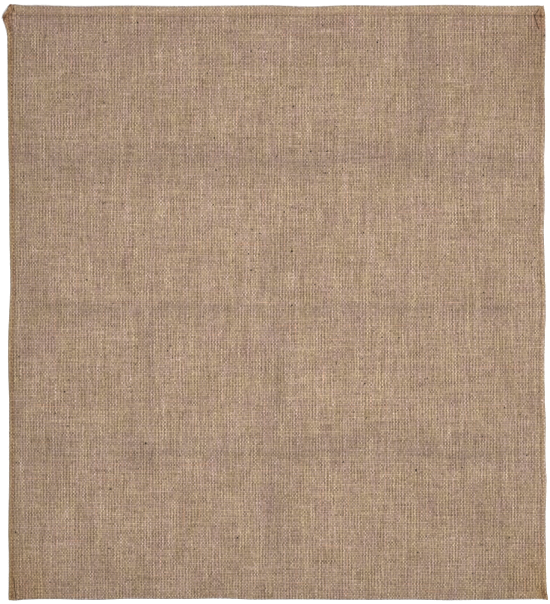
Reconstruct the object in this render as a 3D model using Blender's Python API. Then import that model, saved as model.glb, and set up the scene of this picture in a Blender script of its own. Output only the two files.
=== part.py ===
"""An empty jute sack, laid out flat.

One length of hessian is folded across the sack's bottom. Its long edges are turned in and topstitched
into two side seams, and its two ends are hemmed and make the mouth. The sack lies on its back: +Y runs
from the bottom fold to the mouth, +Z is up, and the origin is under the middle of the sack, on the
surface that it lies on. All sizes are in metres.

The cloth is one closed solid: a front layer and a back layer with an open space between them, fused
along the two seams and joined round the bottom fold.
"""

import math

import bmesh
import bpy

# Overall size of the cloth body, between the plain stretches of its edges
SACK_WIDTH = 0.9945
SACK_LENGTH = 1.0994
SACK_SHIFT_X = 0.0022  # the body's middle, measured from the middle of the outline with its ears
SACK_SHIFT_Y = -0.0010

# Cloth and the thicknesses of its sewn edges
CLOTH_THICK = 0.0012  # one layer of hessian
HEM_THICK = 0.0024  # the mouth hem, turned over and pressed
HEM_DEPTH = 0.0167  # from the mouth's edge to the hem's turned edge
HEM_STEP = 0.0030  # the slope from the hem down to the single cloth
SEAM_WIDTH = 0.0060  # the raised strip outside the side stitching
SEAM_THICK = 0.0036  # four layers, pressed
STITCH_LINE = 0.0085  # from the side edge to the groove that the side stitching pulls in
STITCH_THICK = 0.0029
FOLD_THICK = 0.0030  # at the bottom fold
FOLD_DEPTH = 0.0050  # from the bottom edge to where the two layers part
EDGE_ROUND = 0.0009  # how far an edge's middle stands out beyond its top and bottom
CORNER_LUMP = 0.0014  # how much more the sewn lumps at the mouth's two corners stand up
CORNER_REACH = 0.030

# How the empty sack lies
CROWN = 0.0120  # the front layer's height over the middle
SIDE_RISE = 0.078  # from a seam to where the front has its full height
BOTTOM_RISE = 0.085
WAVE_HEIGHT = 0.0005  # the lazy unevenness of the front
WAVES = (
    # (across, along, start): wavelengths in metres along X and Y, and a phase in turns
    (0.47, 0.83, 0.10),
    (-0.61, 0.39, 0.55),
    (0.29, -0.71, 0.30),
)

# Packing creases, where the folded-up sack was pressed: soft troughs in the front, each with a
# sharper fold line down its middle
ACROSS, ALONG = "across", "along"
CREASES = (
    # (runs, place, start, stop, depth, half_width, wobble): a crease that runs across has its place
    # on Y and starts and stops on X, and one that runs along has them the other way round
    (ACROSS, 0.262, -0.52, 0.52, 0.0023, 0.062, 0.004),
    (ACROSS, -0.014, -0.52, 0.52, 0.0022, 0.044, 0.003),
    (ACROSS, -0.287, -0.52, 0.52, 0.0024, 0.066, 0.006),
    (ALONG, -0.236, -0.21, 0.04, 0.0012, 0.040, 0.002),
    (ALONG, -0.004, -0.50, -0.10, 0.0018, 0.046, 0.004),
    (ALONG, 0.268, 0.22, 0.57, 0.0017, 0.042, 0.003),
)
FOLD_LINE_SHARE = 0.32  # of a crease's depth, how much is its fold line
FOLD_LINE_WIDTH = 0.010  # the fold line's half width
CREASE_FADE = 0.06  # how gradually a crease ends
WOBBLE_LENGTH = 0.31  # wavelength of a crease's sideways wander

# How far each edge stands out from the straight body, in millimetres: (place along the edge, out)
LEFT_EDGE = (
    (-0.55, 0.0), (-0.48, -0.7), (-0.42, 0.5), (-0.33, -1.0), (-0.18, -1.0), (-0.11, 1.0), (-0.07, 0.9),
    (-0.03, -1.0), (0.03, -3.3), (0.15, -1.4), (0.23, -1.2), (0.30, 0.5), (0.41, 1.6), (0.50, 2.2),
    (0.535, 1.6), (0.548, -0.4),
)
RIGHT_EDGE = (
    (-0.55, 3.6), (-0.48, 2.2), (-0.40, 1.2), (-0.33, 3.4), (-0.28, 1.2), (-0.22, 1.9), (-0.15, -0.6),
    (-0.08, -0.6), (-0.03, 1.9), (0.01, 1.6), (0.08, -0.2), (0.13, -1.9), (0.19, 0.1), (0.26, -1.0),
    (0.34, 1.1), (0.39, -0.4), (0.50, 1.4), (0.53, 0.8), (0.55, -2.2),
)
MOUTH_EDGE = (
    (-0.50, 1.8), (-0.45, 1.6), (-0.37, -0.8), (-0.27, 0.5), (-0.20, -0.6), (-0.01, 1.0), (0.06, -1.4),
    (0.14, 1.4), (0.20, 0.5), (0.32, 2.0), (0.42, 0.3), (0.50, 2.0),
)
BOTTOM_EDGE = (
    (-0.50, 0.9), (-0.42, -0.8), (-0.34, 0.9), (-0.27, -1.2), (-0.17, -0.6), (-0.10, -1.9), (-0.05, 0.3),
    (0.06, 0.0), (0.14, 0.9), (0.25, 0.4), (0.32, 1.6), (0.40, 0.6), (0.50, -0.6),
)
EDGE_FOLLOW = 0.070  # how far in from an edge the cloth follows its wander

# Corner ears and nubs: (edge, place along it, length before it, length after it, out, inland)
LEFT, RIGHT, MOUTH, BOTTOM = "left", "right", "mouth", "bottom"
EARS = (
    (LEFT, 0.5290, 0.0290, 0.0180, 0.0100, 0.015),
    (MOUTH, -0.4930, 0.0060, 0.0260, 0.0028, 0.020),
    (RIGHT, -0.5500, 0.0010, 0.0150, 0.0034, 0.016),
    (BOTTOM, 0.4990, 0.0140, 0.0010, 0.0022, 0.014),
    (BOTTOM, -0.4860, 0.0120, 0.0120, 0.0014, 0.018),
    (BOTTOM, -0.5000, 0.0040, 0.0060, 0.0016, 0.010),
)

# Where the grid of the cloth has its lines
SIDE_LINES = (0.0, 0.003, SEAM_WIDTH, STITCH_LINE, 0.014, 0.030, 0.058, 0.095)  # in from each side edge
MOUTH_LINES = (0.0, 0.0035, 0.009, HEM_DEPTH - HEM_STEP, HEM_DEPTH, HEM_DEPTH + HEM_STEP, 0.027, 0.036, 0.052)
BOTTOM_LINES = (0.0, 0.0022, FOLD_DEPTH, 0.012, 0.028, 0.055, 0.090)
WIDEST_CELL = 0.042
NARROWEST_CELL = 0.009

JUTE_COLOUR = (0.402, 0.284, 0.196, 1.0)
JUTE_ROUGHNESS = 0.95


def smooth(t):
    """A soft step from 0 to 1 as t goes from 0 to 1."""
    t = min(max(t, 0.0), 1.0)
    return t * t * (3.0 - 2.0 * t)


def dome(t):
    """A rise from 0 to 1 that starts steep and ends level."""
    t = min(max(t, 0.0), 1.0)
    return math.sin(t * math.pi / 2.0)


def bell(t):
    """A soft bump: 1 at t = 0, and 0 beyond 1 either way."""
    return 1.0 - smooth(abs(t))


def out_of_straight(rows, along):
    """An edge's wander, read between the rows of its table, in metres."""
    if along <= rows[0][0]:
        return rows[0][1] / 1000.0
    for (a, out_a), (b, out_b) in zip(rows, rows[1:]):
        if along <= b:
            return (out_a + (out_b - out_a) * smooth((along - a) / (b - a))) / 1000.0
    return rows[-1][1] / 1000.0


def ears_of(edge, along, inland):
    """How far the ears on an edge push a point out that lies this far in from it."""
    out = 0.0
    for ear_edge, place, before, after, reach, depth in EARS:
        if ear_edge == edge:
            side = before if along < place else after
            out += reach * bell((along - place) / side) * (1.0 - smooth(inland / depth))
    return out


def plan(x, y):
    """Where a point of the straight body, x and y from its middle, lies in the uneven outline."""
    from_left, from_right = x + SACK_WIDTH / 2.0, SACK_WIDTH / 2.0 - x
    from_bottom, from_mouth = y + SACK_LENGTH / 2.0, SACK_LENGTH / 2.0 - y
    left = out_of_straight(LEFT_EDGE, y) * (1.0 - smooth(from_left / EDGE_FOLLOW))
    right = out_of_straight(RIGHT_EDGE, y) * (1.0 - smooth(from_right / EDGE_FOLLOW))
    mouth = out_of_straight(MOUTH_EDGE, x) * (1.0 - smooth(from_mouth / EDGE_FOLLOW))
    bottom = out_of_straight(BOTTOM_EDGE, x) * (1.0 - smooth(from_bottom / EDGE_FOLLOW))
    left += ears_of(LEFT, y, from_left)
    right += ears_of(RIGHT, y, from_right)
    mouth += ears_of(MOUTH, x, from_mouth)
    bottom += ears_of(BOTTOM, x, from_bottom)
    return x - left + right + SACK_SHIFT_X, y + mouth - bottom + SACK_SHIFT_Y


def crease_depth(x, y):
    """How deep the deepest packing crease at a point presses the front in there."""
    deepest = 0.0
    for runs, place, start, stop, deep, half_width, wobble in CREASES:
        across, along = (y, x) if runs == ACROSS else (x, y)
        middle = place + wobble * math.sin(2.0 * math.pi * (along - start) / WOBBLE_LENGTH)
        ends = smooth((along - start) / CREASE_FADE) * smooth((stop - along) / CREASE_FADE)
        line = max(0.0, 1.0 - abs(across - middle) / FOLD_LINE_WIDTH)
        shape = (1.0 - FOLD_LINE_SHARE) * bell((across - middle) / half_width) + FOLD_LINE_SHARE * line
        deepest = max(deepest, deep * ends * shape)
    return deepest


def waves(x, y):
    """The lazy unevenness of the front at a point."""
    total = sum(math.sin(2.0 * math.pi * (x / across + y / along + start)) for across, along, start in WAVES)
    return WAVE_HEIGHT * total


def hem_extra(y):
    """How much thicker than one layer the cloth is this near the mouth."""
    from_mouth = SACK_LENGTH / 2.0 - y
    return (HEM_THICK - CLOTH_THICK) * (1.0 - smooth((from_mouth - HEM_DEPTH) / HEM_STEP))


def front_height(x, y):
    """The height of the front's upper face over the surface, at a point of the straight body."""
    from_side = SACK_WIDTH / 2.0 - abs(x)
    from_bottom, from_mouth = y + SACK_LENGTH / 2.0, SACK_LENGTH / 2.0 - y
    to_stitching = smooth((from_side - SEAM_WIDTH) / (STITCH_LINE - SEAM_WIDTH))
    strip = SEAM_THICK + (STITCH_THICK - SEAM_THICK) * to_stitching
    strip = FOLD_THICK + (strip - FOLD_THICK) * smooth(from_bottom / FOLD_DEPTH)
    lift = dome((from_side - STITCH_LINE) / SIDE_RISE) * dome((from_bottom - FOLD_DEPTH / 2.0) / BOTTOM_RISE)
    height = strip + (CROWN - STITCH_THICK + waves(x, y) - crease_depth(x, y)) * lift
    height += hem_extra(y) * (2.0 - lift)  # both hems raise the front where they lie on each other
    return height + CORNER_LUMP * bell(from_side / CORNER_REACH) * bell(from_mouth / CORNER_REACH)


def lines(low, high, low_lines, high_lines, places):
    """Grid lines from low to high: the given ones near each end, those at the creases, and fillers."""
    marks = [low + d for d in low_lines] + [high - d for d in high_lines]
    inner_low, inner_high = low + low_lines[-1], high - high_lines[-1]
    marks += [p for p in places if inner_low + NARROWEST_CELL < p < inner_high - NARROWEST_CELL]
    marks.sort()
    filled = marks[:1]
    for mark in marks[1:]:
        gap = mark - filled[-1]
        parts = math.ceil(gap / WIDEST_CELL)
        start = filled[-1]
        filled += [start + gap * k / parts for k in range(1, parts)] + [mark]
    return filled


def crease_lines(runs):
    """Grid lines for the creases that run this way: each fold line, its two sides and two shoulders."""
    found = []
    for crease_runs, place, _start, _stop, _deep, half_width, _wobble in CREASES:
        if crease_runs == runs:
            found += [place - half_width, place - FOLD_LINE_WIDTH, place]
            found += [place + FOLD_LINE_WIDTH, place + half_width]
    return found


class Cloth:
    """Gathers the corner points and faces of the sack's one solid."""

    def __init__(self, columns, rows):
        self.columns, self.rows = columns, rows
        self.mesh = bmesh.new()
        self.points = {}
        self.last_column, self.last_row = len(columns) - 1, len(rows) - 1
        self.first_open = SIDE_LINES.index(STITCH_LINE)
        self.last_open = self.last_column - self.first_open
        self.first_free = BOTTOM_LINES.index(FOLD_DEPTH)

    def at_rim(self, i, j):
        """How far a point on the outline is drawn in, along X and Y, so that the edge is rounded."""
        along_x = EDGE_ROUND * ((i == 0) - (i == self.last_column))
        along_y = EDGE_ROUND * ((j == 0) - (j == self.last_row))
        return along_x, along_y

    def place(self, layer, i, j):
        """The position of a point: layer is front, back, roof, bed, edge, front_lip or back_lip."""
        x, y = self.columns[i], self.rows[j]
        out_x, out_y = plan(x, y)
        top = front_height(x, y)
        thick = CLOTH_THICK + hem_extra(y)
        if layer in ("edge", "front_lip", "back_lip"):
            height = {"edge": top / 2.0, "front_lip": top - thick / 2.0, "back_lip": thick / 2.0}[layer]
            return out_x, out_y, height
        in_x, in_y = self.at_rim(i, j)
        closed = i in (self.first_open, self.last_open) or j == self.first_free
        height = {
            "front": top,
            "back": 0.0,
            "roof": top / 2.0 if closed else top - thick,
            "bed": top / 2.0 if closed else thick,
        }[layer]
        return out_x + in_x, out_y + in_y, height

    def point(self, layer, i, j):
        """The mesh's corner point of a layer at column i and row j, made when it is first asked for."""
        if layer == "bed" and (i in (self.first_open, self.last_open) or j == self.first_free):
            layer = "roof"  # the two inner faces meet there
        key = (layer, i, j)
        if key not in self.points:
            self.points[key] = self.mesh.verts.new(self.place(*key))
        return self.points[key]

    def face(self, *corners):
        """One face through the given (layer, i, j) corners."""
        self.mesh.faces.new([self.point(*corner) for corner in corners])

    def layer_faces(self, layer, first_i, last_i, first_j):
        """The quads of one layer, over its columns and rows."""
        for i in range(first_i, last_i):
            for j in range(first_j, self.last_row):
                self.face((layer, i, j), (layer, i + 1, j), (layer, i + 1, j + 1), (layer, i, j + 1))

    def outer_edges(self):
        """The rounded rim down both sides and along the bottom fold."""
        for i in (0, self.last_column):
            for j in range(self.last_row):
                self.face(("front", i, j), ("front", i, j + 1), ("edge", i, j + 1), ("edge", i, j))
                self.face(("edge", i, j), ("edge", i, j + 1), ("back", i, j + 1), ("back", i, j))
        for i in range(self.last_column):
            self.face(("front", i, 0), ("front", i + 1, 0), ("edge", i + 1, 0), ("edge", i, 0))
            self.face(("edge", i, 0), ("edge", i + 1, 0), ("back", i + 1, 0), ("back", i, 0))

    def seam_end(self, outermost, innermost):
        """The closed end of one side seam at the mouth, from the outline in to the opening's corner."""
        j = self.last_row
        step = 1 if innermost > outermost else -1
        for i in range(outermost, innermost, step):
            ring = [("front", i, j), ("front", i + step, j)]
            if i + step == innermost:
                ring += [("front_lip", innermost, j), ("roof", innermost, j), ("back_lip", innermost, j)]
            ring += [("back", i + step, j), ("back", i, j)]
            if i == outermost:
                ring.append(("edge", i, j))
            self.face(*ring)

    def lips(self):
        """The rounded edges of the two hems, on either side of the open mouth."""
        j = self.last_row
        for i in range(self.first_open, self.last_open):
            for outer, lip, inner in (("front", "front_lip", "roof"), ("back", "back_lip", "bed")):
                self.face((outer, i, j), (outer, i + 1, j), (lip, i + 1, j), (lip, i, j))
                self.face((lip, i, j), (lip, i + 1, j), (inner, i + 1, j), (inner, i, j))

    def build(self):
        """Makes every face and returns the finished mesh."""
        for layer in ("front", "back"):
            self.layer_faces(layer, 0, self.last_column, 0)
        for layer in ("roof", "bed"):
            self.layer_faces(layer, self.first_open, self.last_open, self.first_free)
        self.outer_edges()
        self.seam_end(0, self.first_open)
        self.seam_end(self.last_column, self.last_open)
        self.lips()
        bmesh.ops.recalc_face_normals(self.mesh, faces=self.mesh.faces)
        data = bpy.data.meshes.new("sack_cloth")
        self.mesh.to_mesh(data)
        self.mesh.free()
        return data


def jute():
    """The cloth's material: dry, matt, undyed jute."""
    material = bpy.data.materials.new("jute")
    material.use_nodes = True
    shader = material.node_tree.nodes["Principled BSDF"]
    shader.inputs["Base Color"].default_value = JUTE_COLOUR
    shader.inputs["Roughness"].default_value = JUTE_ROUGHNESS
    shader.inputs["Metallic"].default_value = 0.0
    return material


def sack_cloth():
    """The sack: one closed solid of cloth."""
    half_width, half_length = SACK_WIDTH / 2.0, SACK_LENGTH / 2.0
    columns = lines(-half_width, half_width, SIDE_LINES, SIDE_LINES, crease_lines(ALONG))
    rows = lines(-half_length, half_length, BOTTOM_LINES, MOUTH_LINES, crease_lines(ACROSS))
    data = Cloth(columns, rows).build()
    data.materials.append(jute())
    data.shade_smooth()
    data.set_sharp_from_angle(angle=math.radians(50.0))
    sack = bpy.data.objects.new("sack_cloth", data)
    bpy.context.scene.collection.objects.link(sack)
    return sack


def main():
    for old in list(bpy.data.objects):
        bpy.data.objects.remove(old, do_unlink=True)
    sack_cloth()


main()
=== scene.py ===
"""An empty jute sack, laid out flat on a pale floor.

The cloth is one length of hessian. Its two ends are hemmed, it is folded across the sack's bottom, and
its long edges are turned in and topstitched together. +X runs across the sack, +Y from the bottom fold
to the mouth, and +Z is up. All sizes are in metres.
"""

from __future__ import annotations

import logging
import math
from dataclasses import dataclass, field
from enum import Enum
from typing import Any, Mapping, Union

import bpy
import numpy as np
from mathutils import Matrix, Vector

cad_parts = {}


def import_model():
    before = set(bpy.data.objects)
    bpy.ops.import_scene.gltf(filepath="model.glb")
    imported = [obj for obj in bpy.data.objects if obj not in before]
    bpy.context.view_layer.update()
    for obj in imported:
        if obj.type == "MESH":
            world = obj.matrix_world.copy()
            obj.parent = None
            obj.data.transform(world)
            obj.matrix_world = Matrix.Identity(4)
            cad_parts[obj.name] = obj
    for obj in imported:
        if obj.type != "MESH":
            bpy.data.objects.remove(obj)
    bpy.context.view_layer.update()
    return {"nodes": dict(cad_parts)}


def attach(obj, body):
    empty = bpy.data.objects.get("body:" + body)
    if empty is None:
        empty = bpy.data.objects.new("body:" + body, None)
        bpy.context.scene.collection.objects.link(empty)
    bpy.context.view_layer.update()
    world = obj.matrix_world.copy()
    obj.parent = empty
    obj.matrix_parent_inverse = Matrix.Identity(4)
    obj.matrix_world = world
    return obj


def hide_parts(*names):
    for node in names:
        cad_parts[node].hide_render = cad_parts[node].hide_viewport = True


Array = np.ndarray
Colour = tuple[float, float, float]

BODY = "root"
SACK_NODE = "sack_cloth"
CLOTH_PLACE = "cloth"  # the cloth's own coordinates, kept on its points: across, along and the creases' painted shade

log = logging.getLogger("jute_sack")


# ----------------------------------------------------------------------------------------------
# Soft shapes
# ----------------------------------------------------------------------------------------------


def soft_step(t: Array) -> Array:
    """A soft step from 0 to 1 as t goes from 0 to 1."""
    t = np.clip(t, 0.0, 1.0)
    return t * t * (3.0 - 2.0 * t)


def dome(t: Array) -> Array:
    """A rise from 0 to 1 that starts steep and ends level."""
    return np.sin(np.clip(t, 0.0, 1.0) * math.pi / 2.0)


def bell(t: Array) -> Array:
    """A soft bump: 1 at t = 0, and 0 beyond 1 either way."""
    return 1.0 - soft_step(np.abs(t))


def linear(red: int, green: int, blue: int) -> Colour:
    """The colour that a shader wants for a colour chart's red, green and blue, each from 0 to 255."""
    shares = [value / 255.0 for value in (red, green, blue)]
    return tuple(v / 12.92 if v <= 0.04045 else ((v + 0.055) / 1.055) ** 2.4 for v in shares)


@dataclass(frozen=True)
class Unevenness:
    """Lazy waves in cloth: plane waves of many lengths that run every way.

    Attributes:
        shortest: the shortest wavelength.
        longest: the longest wavelength.
        height: how far the waves reach up and down, as a root mean square.
        waves: how many waves there are.
        seed: what the waves' places are drawn from.
    """

    shortest: float
    longest: float
    height: float
    waves: int
    seed: int

    def at(self, x: Array, y: Array) -> Array:
        """The unevenness at points of the cloth.

        Args:
            x: places across.
            y: places along.

        Returns:
            One height for each point.
        """
        rng = np.random.default_rng(self.seed)
        total = np.zeros(np.broadcast(x, y).shape)
        for _ in range(self.waves):
            heading, start = rng.uniform(0.0, 2.0 * math.pi, 2)
            length = self.shortest * (self.longest / self.shortest) ** rng.uniform()
            along = x * math.cos(heading) + y * math.sin(heading)
            total += np.sin(2.0 * math.pi * along / length + start)
        return self.height * total * math.sqrt(2.0 / self.waves)


# ----------------------------------------------------------------------------------------------
# How the sack lies
# ----------------------------------------------------------------------------------------------


class Runs(Enum):
    """Which way a crease runs."""

    ACROSS = "across"
    ALONG = "along"


class Side(Enum):
    """Which side seam, as the sign of its X."""

    LEFT = -1.0
    RIGHT = 1.0


class End(Enum):
    """Which end of the sack, as the sign of its Y."""

    BOTTOM = -1.0
    MOUTH = 1.0


@dataclass(frozen=True)
class Crease:
    """A packing crease: a soft trough with a sharper fold line down it.

    Attributes:
        runs: which way it runs.
        place: where it lies, on Y for one that runs across and on X for one that runs along.
        start: where it starts, on the other axis.
        stop: where it ends, on the other axis.
        depth: how deep the whole crease is.
        half_width: from the fold line to the trough's shoulder.
        wobble: how far it wanders off its line.
        skew: how much wider the trough is on its high side: 0 is even.
        line_share: how much of the depth is the fold line.
        shade_weight: how much painted shade it gets beside the others.
    """

    runs: Runs
    place: float
    start: float
    stop: float
    depth: float
    half_width: float
    wobble: float
    skew: float = 0.0
    line_share: float = 0.40
    shade_weight: float = 1.0

    LINE_WIDTH = 0.0075
    FADE = 0.07
    WANDER = 0.31

    def shape(self, x: Array, y: Array) -> tuple[Array, Array]:
        """The crease's two parts at points of the cloth.

        Args:
            x: places across the sack.
            y: places along the sack.

        Returns:
            The trough and the fold line, each from 0 to 1.
        """
        across, along = (y, x) if self.runs is Runs.ACROSS else (x, y)
        line = self.place + self.wobble * np.sin(2.0 * math.pi * (along - self.start) / self.WANDER)
        line = line + 0.3 * self.wobble * np.sin(2.0 * math.pi * along / (0.37 * self.WANDER))
        off = across - line
        ends = soft_step((along - self.start) / self.FADE) * soft_step((self.stop - along) / self.FADE)
        reach = self.half_width * (1.0 + self.skew * np.sign(off))
        fold = np.maximum(0.0, 1.0 - np.abs(off) / self.LINE_WIDTH)
        return ends * bell(off / reach), ends * fold

    def depth_at(self, x: Array, y: Array) -> Array:
        """How deep the crease is at points of the cloth."""
        trough, fold = self.shape(x, y)
        return self.depth * ((1.0 - self.line_share) * trough + self.line_share * fold)


CREASES = (
    Crease(Runs.ACROSS, 0.262, -0.52, 0.52, 0.0022, 0.062, 0.004, line_share=0.25),
    Crease(Runs.ACROSS, -0.012, -0.52, 0.52, 0.0021, 0.042, 0.002, skew=-0.2, line_share=0.5),
    Crease(Runs.ACROSS, -0.281, -0.52, 0.52, 0.0024, 0.062, 0.004, skew=0.25, line_share=0.4),
    Crease(Runs.ALONG, -0.236, -0.21, 0.04, 0.0012, 0.040, 0.002),
    Crease(Runs.ALONG, -0.004, -0.53, 0.16, 0.0017, 0.054, 0.004, line_share=0.25, shade_weight=1.3),
    Crease(Runs.ALONG, 0.268, 0.22, 0.57, 0.0016, 0.048, 0.003, line_share=0.25, shade_weight=1.3),
)


class Outline:
    """The sack's plan shape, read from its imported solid.

    Attributes:
        width: the straight body's size across.
        length: the straight body's size along.
        middle: the straight body's middle.
    """

    STEP = 0.0015  # how close together the edges are read
    SOFTEN = 0.004  # the corners of the solid's faces are eased over this distance
    MARGIN = 0.0008  # how far inside the solid's ends the first and last readings are
    FOLLOW = 0.070  # how far in from an edge the cloth follows its wander
    OWN_END = 0.0045  # how far the mouth and the bottom fold wander at most
    OWN_SIDE = 0.016  # how far the sides do, with their ears
    CORNER = 0.0040  # how near an end a side is no longer read, because the ends' edges are met there
    ROUNDS = 4  # how often the ends' wander and the sides' are read again, each where the other leads

    def __init__(self, solid: bpy.types.Object) -> None:
        """Reads where the solid's edges lie.

        Args:
            solid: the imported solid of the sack.
        """
        count = len(solid.data.vertices)
        points = np.empty(count * 3)
        solid.data.vertices.foreach_get("co", points)
        points = points.reshape(count, 3)[:, :2]
        ends = np.empty(len(solid.data.edges) * 2, dtype=np.int64)
        solid.data.edges.foreach_get("vertices", ends)
        starts, stops = points[ends[0::2]], points[ends[1::2]]
        self.xs, self.bottom, self.mouth = self._read(starts, stops, 0, self.OWN_END)
        self.ys, self.left, self.right = self._read(starts, stops, 1, self.OWN_SIDE)
        low = Vector((np.median(self.left), np.median(self.bottom)))
        high = Vector((np.median(self.right), np.median(self.mouth)))
        self.width, self.length = high - low
        self.middle = (low + high) / 2.0
        held = np.clip(self.ys, low.y + self.CORNER, high.y - self.CORNER)
        self.left, self.right = (np.interp(held, self.ys, side) for side in (self.left, self.right))

    def _read(self, starts: Array, stops: Array, axis: int, own: float) -> tuple[Array, Array, Array]:
        """Finds how far the solid reaches either way, on lines square to one axis.

        Args:
            starts: the first points of the solid's edges.
            stops: their second points.
            axis: 0 for places along X, 1 for places along Y.
            own: a reading further than this from an edge's middle belongs to another edge.

        Returns:
            The places, and the lowest and highest reach at each.
        """
        low_end = min(starts[:, axis].min(), stops[:, axis].min()) + self.MARGIN
        high_end = max(starts[:, axis].max(), stops[:, axis].max()) - self.MARGIN
        places = np.linspace(low_end, high_end, round((high_end - low_end) / self.STEP))
        low, high = np.empty(len(places)), np.empty(len(places))
        for k, place in enumerate(places):
            crossing = (starts[:, axis] - place) * (stops[:, axis] - place) < 0.0
            a, b = starts[crossing], stops[crossing]
            share = (place - a[:, axis]) / (b[:, axis] - a[:, axis])
            reach = a[:, 1 - axis] + share * (b[:, 1 - axis] - a[:, 1 - axis])
            low[k], high[k] = reach.min(), reach.max()
        return places, self._soften(low, own), self._soften(high, own)

    def _soften(self, reach: Array, own: float) -> Array:
        """Drops readings that belong to another edge, and takes a running mean that keeps both ends.

        Args:
            reach: the readings along one edge.
            own: how far one of the edge's own readings lies from its middle at most.

        Returns:
            The softened edge.
        """
        kept = np.abs(reach - np.median(reach)) < own
        count = np.arange(len(reach))
        reach = np.interp(count, count[kept], reach[kept])
        half = max(1, round(self.SOFTEN / self.STEP / 2.0))
        padded = np.pad(reach, half, mode="edge")
        return np.convolve(padded, np.ones(2 * half + 1) / (2 * half + 1), mode="valid")

    def place(self, x: Array, y: Array) -> tuple[Array, Array]:
        """Where points of the straight body lie in the sack's uneven outline.

        Args:
            x: places across, from the body's middle.
            y: places along, from the body's middle.

        Returns:
            X and Y of each point.
        """
        half_width, half_length = self.width / 2.0, self.length / 2.0
        mouth_share = 1.0 - soft_step((half_length - y) / self.FOLLOW)
        bottom_share = 1.0 - soft_step((half_length + y) / self.FOLLOW)
        right_share = self._side_share(half_width - x, y)
        left_share = self._side_share(half_width + x, y)
        out_x = x + self.middle.x
        for _ in range(self.ROUNDS):
            mouth = np.interp(out_x, self.xs, self.mouth) - (self.middle.y + half_length)
            bottom = np.interp(out_x, self.xs, self.bottom) - (self.middle.y - half_length)
            out_y = y + self.middle.y + mouth * mouth_share + bottom * bottom_share
            right = np.interp(out_y, self.ys, self.right) - (self.middle.x + half_width)
            left = np.interp(out_y, self.ys, self.left) - (self.middle.x - half_width)
            out_x = x + self.middle.x + right * right_share + left * left_share
        return out_x, out_y

    def _side_share(self, inland: Array, y: Array) -> Array:
        """How much of a side edge's wander reaches a point this far in; an ear at a corner stays short."""
        near_mouth = soft_step((y - self.length / 2.0 + 0.060) / 0.030)
        return 1.0 - soft_step(inland / (self.FOLLOW + (0.020 - self.FOLLOW) * near_mouth))


@dataclass(frozen=True)
class Sewing:
    """The sizes of the sack's sewn edges.

    Attributes:
        allowance: how much of each long edge is turned in.
        hem: the depth of the mouth hems.
        hem_step: the slope from a hem down to the single cloth.
        strip: the raised strip outside the side stitching.
        groove: from the side edge to the bottom of the furrow that the stitching pulls in.
        stitch_line: from the side edge to the side stitches.
        stitch_pitch: from one side stitch to the next.
        hem_line: from the mouth to the hem stitches.
        hem_pitch: from one hem stitch to the next.
    """

    allowance: float = 0.0125
    hem: float = 0.0167
    hem_step: float = 0.0030
    strip: float = 0.0058
    groove: float = 0.0085
    stitch_line: float = 0.0068
    stitch_pitch: float = 0.0066
    hem_line: float = 0.0148
    hem_pitch: float = 0.0048


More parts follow.
